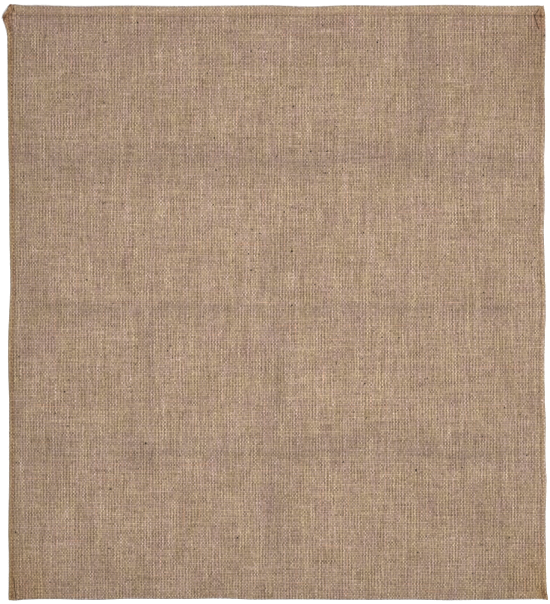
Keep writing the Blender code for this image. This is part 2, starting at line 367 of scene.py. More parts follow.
@dataclass(frozen=True)
class Lie:
    """How the empty sack lies: its outline, and the height of each ply over the floor.

    Attributes:
        outline: the sack's plan shape.
        sewing: the sizes of its sewn edges.
        ply: the thickness of one layer of hessian.
        pressed_ply: its thickness in the side seams.
        fold: the height of the bottom fold.
        fold_depth: from the bottom edge to where the two layers part.
        crown: the front's height over the middle.
        side_rise: from a seam to where the front has its full height.
        bottom_rise: the same from the bottom fold.
        corner_lump: how much more the sewn lumps at the mouth's corners stand up.
        corner_reach: how far those lumps reach.
    """

    outline: Outline
    sewing: Sewing = Sewing()
    ply: float = 0.0012
    pressed_ply: float = 0.0009
    fold: float = 0.0030
    fold_depth: float = 0.0050
    crown: float = 0.0120
    side_rise: float = 0.078
    bottom_rise: float = 0.085
    corner_lump: float = 0.0014
    corner_reach: float = 0.030

    SWELLS = Unevenness(0.26, 0.80, 0.00042, 9, 4)
    CRUMPLES = Unevenness(0.050, 0.150, 0.00016, 60, 11)
    DIMPLES = Unevenness(0.018, 0.045, 0.000035, 60, 12)
    HEM_WAVES = Unevenness(0.045, 0.110, 0.00022, 16, 5)
    SEAM_PUCKERS = Unevenness(0.020, 0.050, 0.00016, 24, 8)

    def hem_share(self, y: Array) -> Array:
        """How far into a mouth hem points lie: 1 on the hem, and 0 past its turned edge."""
        from_mouth = self.outline.length / 2.0 - y
        return 1.0 - soft_step((from_mouth - self.sewing.hem) / self.sewing.hem_step)

    def side_distance(self, x: Array) -> Array:
        """How far points lie from the nearer side edge."""
        return self.outline.width / 2.0 - np.abs(x)

    def seam_share(self, x: Array) -> Array:
        """How far into a side seam points lie: 1 on the sewn strip, and 0 on the free cloth."""
        past = self.side_distance(x) - self.sewing.groove
        return 1.0 - soft_step(past / self.sewing.allowance)

    def ply_at(self, x: Array) -> Array:
        """The thickness of one ply, which is pressed thinner in the seams."""
        return self.ply + (self.pressed_ply - self.ply) * self.seam_share(x)

    def lift(self, x: Array, y: Array) -> Array:
        """How free of the seams and the bottom fold the front is.

        Args:
            x: places across, from the body's middle.
            y: places along, from the body's middle.

        Returns:
            0 at the seams and the fold, and 1 away from them.
        """
        from_bottom = y + self.outline.length / 2.0
        sideways = dome((self.side_distance(x) - self.sewing.groove) / self.side_rise)
        return sideways * dome((from_bottom - self.fold_depth / 2.0) / self.bottom_rise)

    def creasing(self, x: Array, y: Array) -> Array:
        """How deep the deepest crease is at points of the front."""
        return np.max([crease.depth_at(x, y) for crease in CREASES], axis=0)

    def crease_shading(self, x: Array, y: Array) -> Array:
        """How much painted shade the creases get at points of the front, from 0 to 1."""
        crease_shadings = [crease.depth_at(x, y) * crease.shade_weight for crease in CREASES]
        return np.max(crease_shadings, axis=0) / CREASES[0].depth

    def front(self, x: Array, y: Array) -> Array:
        """The height of the front's upper face.

        Args:
            x: places across, from the body's middle.
            y: places along, from the body's middle.

        Returns:
            The height of each point over the floor.
        """
        sewing = self.sewing
        from_side = self.side_distance(x)
        from_bottom, from_mouth = y + self.outline.length / 2.0, self.outline.length / 2.0 - y
        seam = 4.0 * self.pressed_ply
        furrow = 0.8 * seam
        to_stitching = soft_step((from_side - sewing.strip) / (sewing.groove - sewing.strip))
        strip = seam + (furrow - seam) * to_stitching
        strip = self.fold + (strip - self.fold) * soft_step(from_bottom / self.fold_depth)
        lift = self.lift(x, y)
        swell = self.SWELLS.at(x, y) + self.CRUMPLES.at(x, y) + self.DIMPLES.at(x, y)
        height = strip + (self.crown - furrow + swell - self.creasing(x, y)) * lift
        height = height + self.SEAM_PUCKERS.at(0.0 * x, y) * bell((from_side - 0.014) / 0.030)
        hem = self.hem_share(y)
        height = height + self.ply * hem * (2.0 - lift)
        height = height + self.HEM_WAVES.at(x, 0.0 * y) * bell(from_mouth / 0.045) * lift
        lump = bell(from_side / self.corner_reach) * bell(from_mouth / self.corner_reach)
        return height + self.corner_lump * lump


# ----------------------------------------------------------------------------------------------
# Shader maths
# ----------------------------------------------------------------------------------------------


class Val:
    """A value on its way through a material's nodes, so that shader maths reads as expressions."""

    def __init__(self, graph: Graph, socket: bpy.types.NodeSocket) -> None:
        """Wraps a socket of the graph."""
        self.graph, self.socket = graph, socket

    def __add__(self, other: Number) -> Val:
        """Self plus other."""
        return self.graph.maths("ADD", self, other)

    def __radd__(self, other: Number) -> Val:
        """Other plus self."""
        return self.graph.maths("ADD", other, self)

    def __sub__(self, other: Number) -> Val:
        """Self less other."""
        return self.graph.maths("SUBTRACT", self, other)

    def __rsub__(self, other: Number) -> Val:
        """Other less self."""
        return self.graph.maths("SUBTRACT", other, self)

    def __mul__(self, other: Number) -> Val:
        """Self times other."""
        return self.graph.maths("MULTIPLY", self, other)

    def __rmul__(self, other: Number) -> Val:
        """Other times self."""
        return self.graph.maths("MULTIPLY", other, self)

    def __truediv__(self, other: Number) -> Val:
        """Self over other."""
        return self.graph.maths("DIVIDE", self, other)

    def __gt__(self, other: Number) -> Val:
        """1 where self is more than other, and 0 elsewhere."""
        return self.graph.maths("GREATER_THAN", self, other)

    def __lt__(self, other: Number) -> Val:
        """1 where self is less than other, and 0 elsewhere."""
        return self.graph.maths("LESS_THAN", self, other)

    def __abs__(self) -> Val:
        """Self without its sign."""
        return self.graph.maths("ABSOLUTE", self)


Number = Union[Val, float]


class Graph:
    """The nodes of one material."""

    MIX_SOCKETS = {"FLOAT": (2, 3, 0), "VECTOR": (4, 5, 1), "RGBA": (6, 7, 2)}  # both inputs, output

    def __init__(self, name: str) -> None:
        """Starts a material that holds a Principled shader alone.

        Args:
            name: the material's name.
        """
        self.material = bpy.data.materials.new(name)
        self.material.use_nodes = True
        self.tree = self.material.node_tree
        self.shader = self.tree.nodes["Principled BSDF"]

    def node(
        self,
        kind: str,
        settings: Mapping[str, Any] | None = None,
        inputs: Mapping[Union[str, int], Any] | None = None,
    ) -> bpy.types.Node:
        """Adds a node.

        Args:
            kind: the node's type.
            settings: its own settings, which are set first.
            inputs: a value, or a Val to link, for each socket named.

        Returns:
            The new node.
        """
        made = self.tree.nodes.new(kind)
        for name, value in (settings or {}).items():
            setattr(made, name, value)
        for name, value in (inputs or {}).items():
            self.feed(made.inputs[name], value)
        return made

    def feed(self, socket: bpy.types.NodeSocket, value: Any) -> None:
        """Links a Val to a socket, or sets the socket's own value.

        Args:
            socket: the socket.
            value: the Val, or a number or a colour.
        """
        if isinstance(value, Val):
            self.tree.links.new(value.socket, socket)
        elif socket.type == "RGBA" and len(value) == 3:
            socket.default_value = (*value, 1.0)
        else:
            socket.default_value = value

    def maths(self, operation: str, *values: Number) -> Val:
        """A Math node's result."""
        made = self.node("ShaderNodeMath", {"operation": operation}, dict(enumerate(values)))
        return Val(self, made.outputs[0])

    def surface(self, inputs: Mapping[str, Any]) -> None:
        """Feeds the Principled shader a value, or a Val to link, for each socket named."""
        for name, value in inputs.items():
            self.feed(self.shader.inputs[name], value)

    def mix(self, share: Number, low: Any, high: Any, kind: str = "RGBA", blend: str = "MIX") -> Val:
        """Mixes two colours, vectors or numbers.

        Args:
            share: how much of the second.
            low: the first.
            high: the second.
            kind: RGBA, VECTOR or FLOAT.
            blend: how two colours mix.

        Returns:
            The mixture.
        """
        first, second, out = self.MIX_SOCKETS[kind]
        settings = {"data_type": kind}
        if kind == "RGBA":
            settings["blend_type"] = blend
        made = self.node("ShaderNodeMix", settings, {0: share, first: low, second: high})
        return Val(self, made.outputs[out])

    def tinted(self, share: Number, colour: Val, tint: Any) -> Val:
        """A colour, multiplied by a share of a tint."""
        return self.mix(share, colour, tint, blend="MULTIPLY")

    def vector(self, x: Number, y: Number, z: Number = 0.0) -> Val:
        """A vector of three values."""
        return Val(self, self.node("ShaderNodeCombineXYZ", None, {0: x, 1: y, 2: z}).outputs[0])

    def parts(self, vector: Val) -> tuple[Val, Val, Val]:
        """The three values of a vector."""
        made = self.node("ShaderNodeSeparateXYZ", None, {0: vector})
        return tuple(Val(self, out) for out in made.outputs)

    def attribute(self, name: str) -> Val:
        """A vector that the mesh carries."""
        return Val(self, self.node("ShaderNodeAttribute", {"attribute_name": name}).outputs["Vector"])

    def object_place(self) -> tuple[Val, Val, Val]:
        """Where a point lies on its piece: X, Y and Z."""
        return self.parts(Val(self, self.node("ShaderNodeTexCoord").outputs["Object"]))

    def noise(self, place: Val, detail: float = 1.0) -> Val:
        """Soft noise from 0 to 1, of one lump for each unit of place."""
        made = self.node("ShaderNodeTexNoise", None, {"Vector": place, "Scale": 1.0, "Detail": detail})
        return Val(self, made.outputs["Fac"])

    def patches(self, x: Number, y: Number, seed: float, detail: float = 1.0) -> Val:
        """Soft noise from 0 to 1 over a plane, of its own for each seed."""
        return self.noise(self.vector(x, y, seed), detail)

    def dice(self, place: Val) -> tuple[Val, Val, Val]:
        """Three numbers from 0 to 1 that belong to a place and to no other."""
        made = self.node("ShaderNodeTexWhiteNoise", {"noise_dimensions": "3D"}, {"Vector": place})
        return self.parts(Val(self, made.outputs["Color"]))

    def ramp(self, value: Val, low: float, high: float) -> Val:
        """A soft step from 0 to 1.

        Args:
            value: what the step follows.
            low: the value at which it starts.
            high: the value at which it ends.

        Returns:
            The step.
        """
        settings = {"interpolation_type": "SMOOTHSTEP"}
        made = self.node("ShaderNodeMapRange", settings, {"Value": value, "From Min": low, "From Max": high})
        return Val(self, made.outputs["Result"])

    def fade(self, value: Val, low: float, high: float) -> Val:
        """A soft step from 1 to 0 as the value goes from low to high."""
        return 1.0 - self.ramp(value, low, high)

    def odd(self, index: Val) -> Val:
        """1 for an odd whole number, and 0 for an even one."""
        return self.maths("FLOORED_MODULO", index, 2.0)

    def reach(self, x: Val, y: Val) -> Val:
        """How long a flat vector is."""
        return self.maths("SQRT", x * x + y * y)

    def bump(self, height: Val) -> Val:
        """The normal that a height, in metres, gives the surface."""
        inputs = {"Strength": 1.0, "Distance": 1.0, "Height": height}
        return Val(self, self.node("ShaderNodeBump", None, inputs).outputs["Normal"])


# ----------------------------------------------------------------------------------------------
# Finishes
# ----------------------------------------------------------------------------------------------


@dataclass(frozen=True)
class YarnSet:
    """The yarns that run one way in the hessian.

    Attributes:
        pitch: from one yarn to the next.
        fill: the share of the pitch that a yarn covers.
        tone: how bright the set is beside the other.
        yarn_contrast: how much one yarn's tone differs from the next.
        streak_contrast: how much a yarn's tone changes along it.
        streak: how long such a streak is.
        band_contrast: how much the tone changes from one band of yarns to the next.
        pairing: how far the yarns draw together in pairs, in pitches, as the reed leaves them.
        wander: how far yarns stray from their even places, in pitches.
        wander_across: how far apart yarns stray differently.
        wander_along: how long a yarn takes to stray.
        seed: what the yarns' own tones are drawn from.
    """

    pitch: float
    fill: float
    tone: float
    yarn_contrast: float
    streak_contrast: float
    streak: float
    band_contrast: float
    pairing: float
    wander: float
    wander_across: float
    wander_along: float
    seed: float


@dataclass
class YarnField:
    """One yarn set's values at a point of the cloth.

    Attributes:
        index: which yarn it is.
        off: how far the point is from the yarn's middle, in pitches.
        tone: how bright the yarn is there.
        tint: which of the jute's colours the yarn has, from 0 to 1.
        width: the yarn's half width there, in pitches.
    """

    index: Val
    off: Val
    tone: Val
    tint: Val
    width: Val


@dataclass(frozen=True)
class PatchTint:
    """A patch where the cloth is tinted browner, greyer or darker; at the corners it is painted shade of the
    thick, folded corners.

    Attributes:
        across: its middle, from the sack's middle line.
        along: its middle, from the mouth.
        reach_across: from its middle to where it fades out, across.
        reach_along: the same along the sack.
        tint: what the cloth's colour is multiplied by there.
    """

    across: float
    along: float
    reach_across: float
    reach_along: float
    tint: Colour


# The small patches at the corners are painted shade of the thick, folded corners; the larger ones make the
# cloth browner, greyer or darker near its edges.
PATCH_TINTS = (
    PatchTint(-0.475, 1.080, 0.090, 0.110, (0.93, 0.88, 0.76)),
    PatchTint(0.480, 0.090, 0.075, 0.170, (0.86, 0.83, 0.77)),
    PatchTint(0.490, 1.085, 0.080, 0.110, (1.03, 0.99, 0.84)),
    PatchTint(0.492, 0.022, 0.018, 0.034, (1.03, 0.92, 0.82)),
    PatchTint(0.496, 1.098, 0.024, 0.044, (0.93, 0.84, 0.74)),
    PatchTint(-0.494, 0.020, 0.016, 0.030, (1.02, 0.93, 0.86)),
    PatchTint(-0.493, 0.075, 0.012, 0.070, (1.00, 0.95, 0.91)),
    PatchTint(-0.400, 0.012, 0.120, 0.060, (0.93, 0.91, 0.93)),
)


@dataclass(frozen=True)
class Pinch:
    """A short sharp crease where a corner's layers are pulled in by the sewing.

    Attributes:
        side: the seam that it is by.
        start: its first end, as how far in from the side edge and how far down from the mouth.
        stop: its second end.
        width: how wide it is.
    """

    side: Side
    start: tuple[float, float]
    stop: tuple[float, float]
    width: float


PINCHES = (
    Pinch(Side.RIGHT, (0.0128, 0.0078), (0.0208, 0.0200), 0.0015),
    Pinch(Side.RIGHT, (0.0208, 0.0200), (0.0132, 0.0430), 0.0017),
    Pinch(Side.LEFT, (0.0098, 0.0075), (0.0125, 0.0125), 0.0013),
    Pinch(Side.LEFT, (0.0093, 1.0590), (0.0118, 1.0830), 0.0014),
    Pinch(Side.LEFT, (0.0118, 1.0830), (0.0139, 1.0970), 0.0014),
)


@dataclass(frozen=True)
class Spot:
    """A point of the cloth, as its material sees it.

    Attributes:
        graph: the material.
        across: the place across the cloth, from the sack's middle line.
        along: the place along the cloth, from the front's mouth.
    """

    graph: Graph
    across: Val
    along: Val

    def turned(self) -> Spot:
        """The same point with across and along changed over, as the weft's yarns run."""
        return Spot(self.graph, self.along, self.across)

    def patches(self, size: tuple[float, float], seed: float, detail: float = 1.0) -> Val:
        """Soft noise from 0 to 1, in patches of a size across and along."""
        return self.graph.patches(self.across / size[0], self.along / size[1], seed, detail)


@dataclass(frozen=True)
class HessianFinish:
    """Undyed hessian, plain woven from uneven jute yarns.

    Each tint is what the cloth's colour is multiplied by.

    Attributes:
        sewing: the sizes of the sewn edges.
        width: the sack's width.
        length: its length.
        warp: the yarns along the cloth.
        weft: the yarns across it.
        golden: the commonest of the jute's three colours.
        grey: the second one.
        ruddy: the rarest one.
        warm_tint: the tint of the warm patches.
        cool_tint: the tint of the cool patches.
        hem_tint: the tint where the cloth lies double.
        left_strip_shade: the left strip's painted shade outside the side stitching, where it slopes away
            from the light, with a yellower tone.
        right_strip_light: the right strip's painted light, where it faces the light.
        rim_shade: the painted shade on the cloth's very edge, greyer and bluer.
        left_rim_shade: the painted shade on the left strip's very edge.
        pinch_shade: the painted shade down the middle of a corner's pinches.
        twine_stain: the tint beside the dark twine.
        crease_shade_tint: the painted shade in the creases, darker and greyer.
        gap: the colour in the openings between the yarns: a painted shade, as of the ply below in shadow.
        crest_highlight: the painted highlight on top of a crossing.
        hollow_shade: the painted shade at the bottom of one.
        doubled_hollow_shade: the hollows' painted shade where the cloth lies double.
        doubled_crest_highlight: the crests' painted highlight there.
        yarn_height: how far a yarn stands up from the middle of the cloth.
        weave_height: how far the yarns go up and down over each other.
        warp_proud: how much further up the warp lies than the weft.
        fibre_height: how far the fibres stand up from a yarn.
        pinch_depth: how deep a corner's pinches are.
        roughness: how matt the cloth is.
    """

    sewing: Sewing
    width: float
    length: float
    warp: YarnSet = YarnSet(0.00274, 0.72, 1.025, 0.06, 0.22, 0.070, 0.29, 0.080, 0.50, 0.045, 0.120, 3.0)
    weft: YarnSet = YarnSet(0.00330, 0.86, 0.925, 0.05, 0.19, 0.070, 0.21, 0.03, 0.35, 0.060, 0.150, 9.0)
    golden: Colour = linear(136, 115, 91)
    grey: Colour = linear(132, 110, 95)
    ruddy: Colour = linear(141, 110, 89)
    warm_tint: Colour = (0.985, 1.000, 0.930)
    cool_tint: Colour = (0.980, 0.946, 1.005)
    hem_tint: Colour = (1.065, 1.085, 1.02)
    left_strip_shade: Colour = (0.89, 0.86, 0.79)
    right_strip_light: Colour = (1.12, 1.11, 1.12)
    rim_shade: Colour = (0.86, 0.97, 1.15)
    left_rim_shade: Colour = (0.85, 0.888, 0.946)
    pinch_shade: Colour = (0.33, 0.26, 0.17)
    twine_stain: Colour = (1.01, 0.95, 0.88)
    crease_shade_tint: Colour = (0.82, 0.82, 0.87)
    gap: Colour = (0.071, 0.030, 0.004)
    crest_highlight: Colour = (1.28, 1.33, 1.405)
    hollow_shade: Colour = (0.28, 0.155, 0.02)
    doubled_hollow_shade: Colour = (0.80, 0.74, 0.68)
    doubled_crest_highlight: Colour = (1.22, 1.25, 1.29)
    yarn_height: float = 0.00042
    weave_height: float = 0.00030
    warp_proud: float = 0.00018
    fibre_height: float = 0.00006
    pinch_depth: float = 0.0006
    roughness: float = 0.92

    # Sizes of what varies over the cloth: a length along a yarn, or one across and one along
    LUMP = 0.0065  # a lump in a yarn
    SLUB = 0.060  # a thick or a thin stretch of a yarn
    REED = (0.014, 0.040)  # where yarns lie in pairs
    BAND = (0.0085, 0.150)  # a paler or darker band of yarns
    HUE = (0.015, 0.080)  # yarns of one colour
    COOL = (0.034, 0.060)  # a cooler or warmer patch
    LIGHT = (0.075, 0.110)  # a paler or darker patch
    CREASE_SHADE_PATCH = (0.055, 0.055)  # a patch of stronger painted shade on a crease
    RAGGED = (0.016, 0.016)  # the rags of a tinted patch's edge
    FIBRE = (0.00022, 0.0032)  # a fibre

    # How far apart neighbouring yarns read the noise that is their own
    STREAKS_APART = 7.31
    LUMPS_APART = 5.17
    SLUBS_APART = 3.17

    # Soft edges: where each starts and where it ends
    REED_SHARE = (0.40, 0.64)  # the noise where yarns start to pair, and where they are paired
    SLUB_SHARE = (0.66, 0.76)  # the same for thick stretches
    THIN_SHARE = (0.25, 0.34)  # the same for thin ones
    FURROW = (0.0004, 0.0032)  # from a seam's furrow
    HEM_FURROW = (0.0006, 0.0030)  # from the furrow below the hem
    HOLE_LINE = (0.0005, 0.0011)  # from the side stitching's line to a needle hole's edge
    HOLE = (0.0003, 0.0011)  # the same along that line
    STAIN = (0.0008, 0.0024)  # from the dark twine
    RIM = (0.0018, 0.0046)  # from the cloth's very edge, for its painted shade
    PLY_EDGE = 0.0012  # how far the edge of a doubled part is softened either way

    def yarns(self, spot: Spot, yarn: YarnSet) -> YarnField:
        """Works out one yarn set at a point.

        Args:
            spot: the point, across and along the yarns.
            yarn: the yarn set.

        Returns:
            The yarn set's values there.
        """
        graph, along = spot.graph, spot.along
        stray = spot.patches((yarn.wander_across, yarn.wander_along), yarn.seed, 0.0) - 0.5
        count = spot.across / yarn.pitch + stray * (4.0 * yarn.wander)
        index = graph.maths("FLOOR", count)
        own_tone, own_tint, _ = graph.dice(graph.vector(index, yarn.seed))
        streak = graph.patches(index * self.STREAKS_APART, along / yarn.streak, yarn.seed, 2.0) - 0.5
        lumps = graph.patches(index * self.LUMPS_APART, along / self.LUMP, yarn.seed + 2.0) - 0.5
        reed = spot.patches(self.REED, yarn.seed + 4.0)
        band = spot.patches(self.BAND, yarn.seed + 6.0) - 0.5
        slub = graph.patches(index * self.SLUBS_APART, along / self.SLUB, yarn.seed + 10.0, 0.0)
        slub = graph.ramp(slub, *self.SLUB_SHARE) * 0.26 - graph.fade(slub, *self.THIN_SHARE) * 0.20
        hue = spot.patches(self.HUE, yarn.seed + 8.0)
        paired = (graph.odd(index) - 0.5) * graph.ramp(reed, *self.REED_SHARE)
        off = count - index - 0.5 + paired * (4.0 * yarn.pairing)
        tone = (own_tone - 0.5) * yarn.yarn_contrast + streak * (2.0 * yarn.streak_contrast) + yarn.tone
        tone = tone + lumps * 0.12 + band * (2.0 * yarn.band_contrast) + slub
        width = lumps * 0.5 + streak * 0.25 + yarn.fill / 2.0
        tint = own_tint * 0.45 + hue * 1.5 + streak * 0.5 - 0.47
        return YarnField(index, off, tone, tint, width)

    def make(self) -> bpy.types.Material:
        """Builds the finish.

        Returns:
            The material.
        """
        graph = Graph("hessian")
        across, along, crease_shading = graph.parts(graph.attribute(CLOTH_PLACE))
        spot = Spot(graph, across, along)
        warp = self.yarns(spot, self.warp)
        weft = self.yarns(spot.turned(), self.weft)
        knub, bite, slack = graph.dice(graph.vector(warp.index, weft.index, 4.0))
        over = (1.0 - 2.0 * graph.odd(warp.index + weft.index)) * (bite * 0.5 + 0.75)
        warp.width = warp.width + (slack - 0.5) * 0.12
        warp_there, warp_height = self._section(graph, warp, over * self._arch(graph, weft))
        weft_there, weft_height = self._section(graph, weft, over * self._arch(graph, warp) * -1.0)
        warp_height = warp_height + self.warp_proud
        warp_on_top = warp_height > weft_height
        height = graph.maths("MAXIMUM", warp_height, weft_height)
        solid = graph.maths("MAXIMUM", warp_there, weft_there)
        doubled = self._doubled(spot)
        fibre = self._fibres(spot, warp_on_top)
        pinched = self._pinched(spot)

        colour = graph.mix(warp_on_top, self._yarn_colour(graph, weft), self._yarn_colour(graph, warp))
        # lit: the crossings' painted light and shade from their lean, with random knubs.
        lit = knub * 0.20 + self._lean_light(graph, warp, weft, over) + 0.915
        colour = graph.tinted(1.0, colour, self._gain(graph, graph.maths("MINIMUM", lit, 1.23)))
        colour = self._mottled(spot, colour)
        # Painted shade in the weave's hollows and painted highlight on its crests, from the yarns' height.
        depth = graph.ramp(height, 0.0, self.yarn_height + self.weave_height)
        hollow_shade = graph.mix(doubled, self.hollow_shade, self.doubled_hollow_shade)
        crest_highlight = graph.mix(doubled, self.crest_highlight, self.doubled_crest_highlight)
        colour = graph.tinted(1.0, colour, graph.mix(depth, hollow_shade, crest_highlight))
        colour = graph.tinted(1.0, colour, self._gain(graph, fibre * 0.40 + 0.80))
        # The creases are darkened with painted shade, stronger in ragged patches.
        crease_shade_patches = spot.patches(self.CREASE_SHADE_PATCH, 12.0, 2.0)
        colour = graph.tinted(crease_shading * (graph.ramp(crease_shade_patches, 0.25, 0.70) * 0.7 + 0.3), colour, self.crease_shade_tint)
        # The openings between the yarns are painted a dark shade, less where the cloth lies double.
        colour = graph.mix((1.0 - solid) * (1.0 - doubled * 0.75), colour, self.gap)
        colour = graph.tinted(doubled * 0.8, colour, self.hem_tint)
        colour = self._tint_patches(spot, self._sewing_shade(spot, colour))
        # Painted shade down the corners' pinches, then painted shade on the cloth's very edge.
        colour = self._shade_rim(spot, graph.tinted(pinched, colour, self.pinch_shade))

        relief = height + fibre * self.fibre_height - pinched * self.pinch_depth
        surface = {"Base Color": colour, "Normal": graph.bump(relief), "Roughness": self.roughness}
        surface.update({"Specular IOR Level": 0.12, "Sheen Weight": 0.03, "Sheen Roughness": 0.5})
        graph.surface(surface)
        return graph.material

    @staticmethod
    def _lean_light(graph: Graph, warp: YarnField, weft: YarnField, over: Val) -> Val:
        """Painted light and shade: how much lighter or darker a crossing is than its neighbours, as yarns
        that lean on one another face the light at different slants.

        Args:
            graph: the material.
            warp: the warp at the crossing.
            weft: the weft there.
            over: 1 where the warp is over the weft and -1 where it is under, more or less.

        Returns:
            The difference, which is 0 for an even crossing.
        """
        crossing = Spot(graph, warp.index, weft.index)
        patch = crossing.patches((3.4, 3.4), 6.0, 0.0) - 0.44
        rows = crossing.patches((4.1, 1.7), 7.0, 0.0) - 0.5
        return over * patch + (graph.odd(warp.index) - 0.5) * rows * 0.9

    def _pinched(self, spot: Spot) -> Val:
        """Draws the corners' pinches.

        Args:
            spot: the point of the cloth.

        Returns:
            1 down a pinch's middle, and 0 beside it.
        """
        graph = spot.graph
        total: Number = 0.0
        for pinch in PINCHES:
            run_x = pinch.side.value * (pinch.start[0] - pinch.stop[0])
            run_y = pinch.stop[1] - pinch.start[1]
            reach = math.hypot(run_x, run_y)
            to_x, to_y = run_x / reach, run_y / reach
            x = spot.across - pinch.side.value * (self.width / 2.0 - pinch.start[0])
            y = spot.along - pinch.start[1]
            down = graph.maths("MAXIMUM", x * to_x + y * to_y, 0.0)
            down = graph.maths("MINIMUM", down, reach)
            off = graph.reach(x - down * to_x, y - down * to_y)
            total = graph.maths("MAXIMUM", graph.fade(off, 0.4 * pinch.width, pinch.width), total)
        return total

    def _left_strip(self, spot: Spot) -> Val:
        """1 on the left strip outside the side stitching, and 0 on the rest of the cloth."""
        groove = self.sewing.groove
        return spot.graph.fade(spot.across + self.width / 2.0, groove, groove + 0.006)

    def _sewing_shade(self, spot: Spot, colour: Val) -> Val:
        """Paints shade into the seams' furrows, the furrow below the hem and the needle's holes, paints the
        left strip darker and yellower and the right strip lighter as the light falls on them, and stains the
        cloth beside the dark twine.

        Args:
            spot: the point of the cloth.
            colour: the cloth's colour so far.

        Returns:
            The colour.
        """
        graph, sewing, half = spot.graph, self.sewing, self.width / 2.0
        from_side = half - abs(spot.across)
        furrow = graph.fade(abs(from_side - (sewing.groove + 0.0008)), *self.FURROW)
        below_hem = graph.fade(abs(spot.along - (sewing.hem + 0.0022)), *self.HEM_FURROW)
        to_hole = graph.maths("PINGPONG", spot.along, sewing.stitch_pitch / 2.0)
        hole = graph.fade(abs(from_side - sewing.stitch_line), *self.HOLE_LINE)
        hole = hole * graph.fade(to_hole, *self.HOLE)
        # Painted shade in the furrows, below the hem and in the needle's holes.
        shade = (1.0 - furrow * 0.06) * (1.0 - below_hem * 0.09) * (1.0 - hole * 0.35)
        colour = graph.tinted(1.0, colour, self._gain(graph, shade))
        left = self._left_strip(spot)
        by_twine = graph.fade(abs(from_side - sewing.stitch_line + 0.0004), *self.STAIN)
        right = graph.fade(half - spot.across, sewing.groove - 0.003, sewing.groove)
        # Painted shade darkens and yellows the left strip, and painted light brightens the right strip.
        colour = graph.tinted(left, colour, self.left_strip_shade)
        colour = graph.tinted(left * by_twine, colour, self.twine_stain)
        return graph.tinted(right, colour, self.right_strip_light)

    def _tint_patches(self, spot: Spot, colour: Val) -> Val:
        """Tints the cloth in its ragged patches, the corner ones as painted shade.

        Args:
            spot: the point of the cloth.
            colour: the cloth's colour so far.

        Returns:
            The colour.
        """
        graph = spot.graph
        ragged = spot.patches(self.RAGGED, 11.0, 2.0) - 0.5
        for patch in PATCH_TINTS:
            x = (spot.across - patch.across) / patch.reach_across
            y = (spot.along - patch.along) / patch.reach_along
            share = graph.fade(graph.reach(x, y) + ragged * 0.5, 0.25, 1.0)
            colour = graph.tinted(share, colour, patch.tint)
        return colour

    def _shade_rim(self, spot: Spot, colour: Val) -> Val:
        """Paints shade on the cloth's very edge: greyer and bluer, and darker on the left strip's edge.

        Args:
            spot: the point of the cloth.
            colour: the cloth's colour so far.

        Returns:
            The colour.
        """
        graph = spot.graph
        from_side = self.width / 2.0 - abs(spot.across)
        from_end = graph.maths("MINIMUM", abs(spot.along), abs(self.length - spot.along))
        rim = graph.fade(graph.maths("MINIMUM", from_side, from_end), *self.RIM)
        tint = graph.mix(self._left_strip(spot), self.rim_shade, self.left_rim_shade)
        return graph.tinted(rim, colour, tint)

    @staticmethod
    def _arch(graph: Graph, crossed: YarnField) -> Val:
        """How far up or down a yarn is on its way over the yarn that it crosses."""
        return graph.maths("COSINE", crossed.off * math.pi)

    def _section(self, graph: Graph, yarn: YarnField, arch: Val) -> tuple[Val, Val]:
        """A yarn's cross-section.

        Args:
            graph: the material.
            yarn: the yarn's values at the point.
            arch: how far up the yarn is there, from -1 to 1.

        Returns:
            1 where the yarn is and 0 beside it, and the height of its surface.
        """
        reach = abs(yarn.off) / yarn.width
        there = reach < 1.0
        bulge = graph.maths("SQRT", graph.maths("MAXIMUM", 1.0 - reach * reach, 0.0))
        height = bulge * self.yarn_height + arch * self.weave_height
        sunk = (1.0 - there) * (3.0 * self.weave_height)
        return there, height - sunk

    def _yarn_colour(self, graph: Graph, yarn: YarnField) -> Val:
        """A yarn's colour, from the jute's three tints and the yarn's own tone.

        Args:
            graph: the material.
            yarn: the yarn's values at the point.

        Returns:
            The colour.
        """
        tinted = graph.mix(graph.ramp(yarn.tint, 0.25, 0.75), self.golden, self.grey)
        tinted = graph.mix(graph.ramp(yarn.tint, 0.78, 1.1), tinted, self.ruddy)
        return graph.tinted(1.0, tinted, self._gain(graph, yarn.tone))

    @staticmethod
    def _gain(graph: Graph, value: Val) -> Val:
        """What a yarn's colour is multiplied by: jute pales as it brightens and browns as it darkens."""
        green, blue = (graph.maths("POWER", value, power) for power in (1.16, 1.38))
        return graph.vector(value, green, blue)

    def _mottled(self, spot: Spot, colour: Val) -> Val:
        """Lets the colour drift in patches, as the jute's bales do.

        Args:
            spot: the point of the cloth.
            colour: the cloth's colour so far.

        Returns:
            The colour.
        """
        graph = spot.graph
        cool = spot.patches(self.COOL, 5.0, 2.0) + 0.10 * graph.fade(spot.along, 0.02, 0.14)
        light = spot.patches(self.LIGHT, 8.0, 2.0)
        colour = graph.tinted(graph.fade(cool, 0.30, 0.48), colour, self.warm_tint)
        colour = graph.tinted(graph.ramp(cool, 0.52, 0.70), colour, self.cool_tint)
        return graph.tinted(1.0, colour, self._gain(graph, light * 0.25 + 0.875))

    def _fibres(self, spot: Spot, warp_on_top: Val) -> Val:
        """Draws fine fibres that lie along whichever yarn is on top.

        Args:
            spot: the point of the cloth.
            warp_on_top: 1 where the warp is on top, and 0 where the weft is.

        Returns:
            The fibres' height, from 0 to 1.
        """
        graph = spot.graph
        wide, long = self.FIBRE
        down = graph.vector(spot.across / wide, spot.along / long, 1.0)
        sideways = graph.vector(spot.across / long, spot.along / wide, 2.0)
        return graph.noise(graph.mix(warp_on_top, sideways, down, kind="VECTOR"))

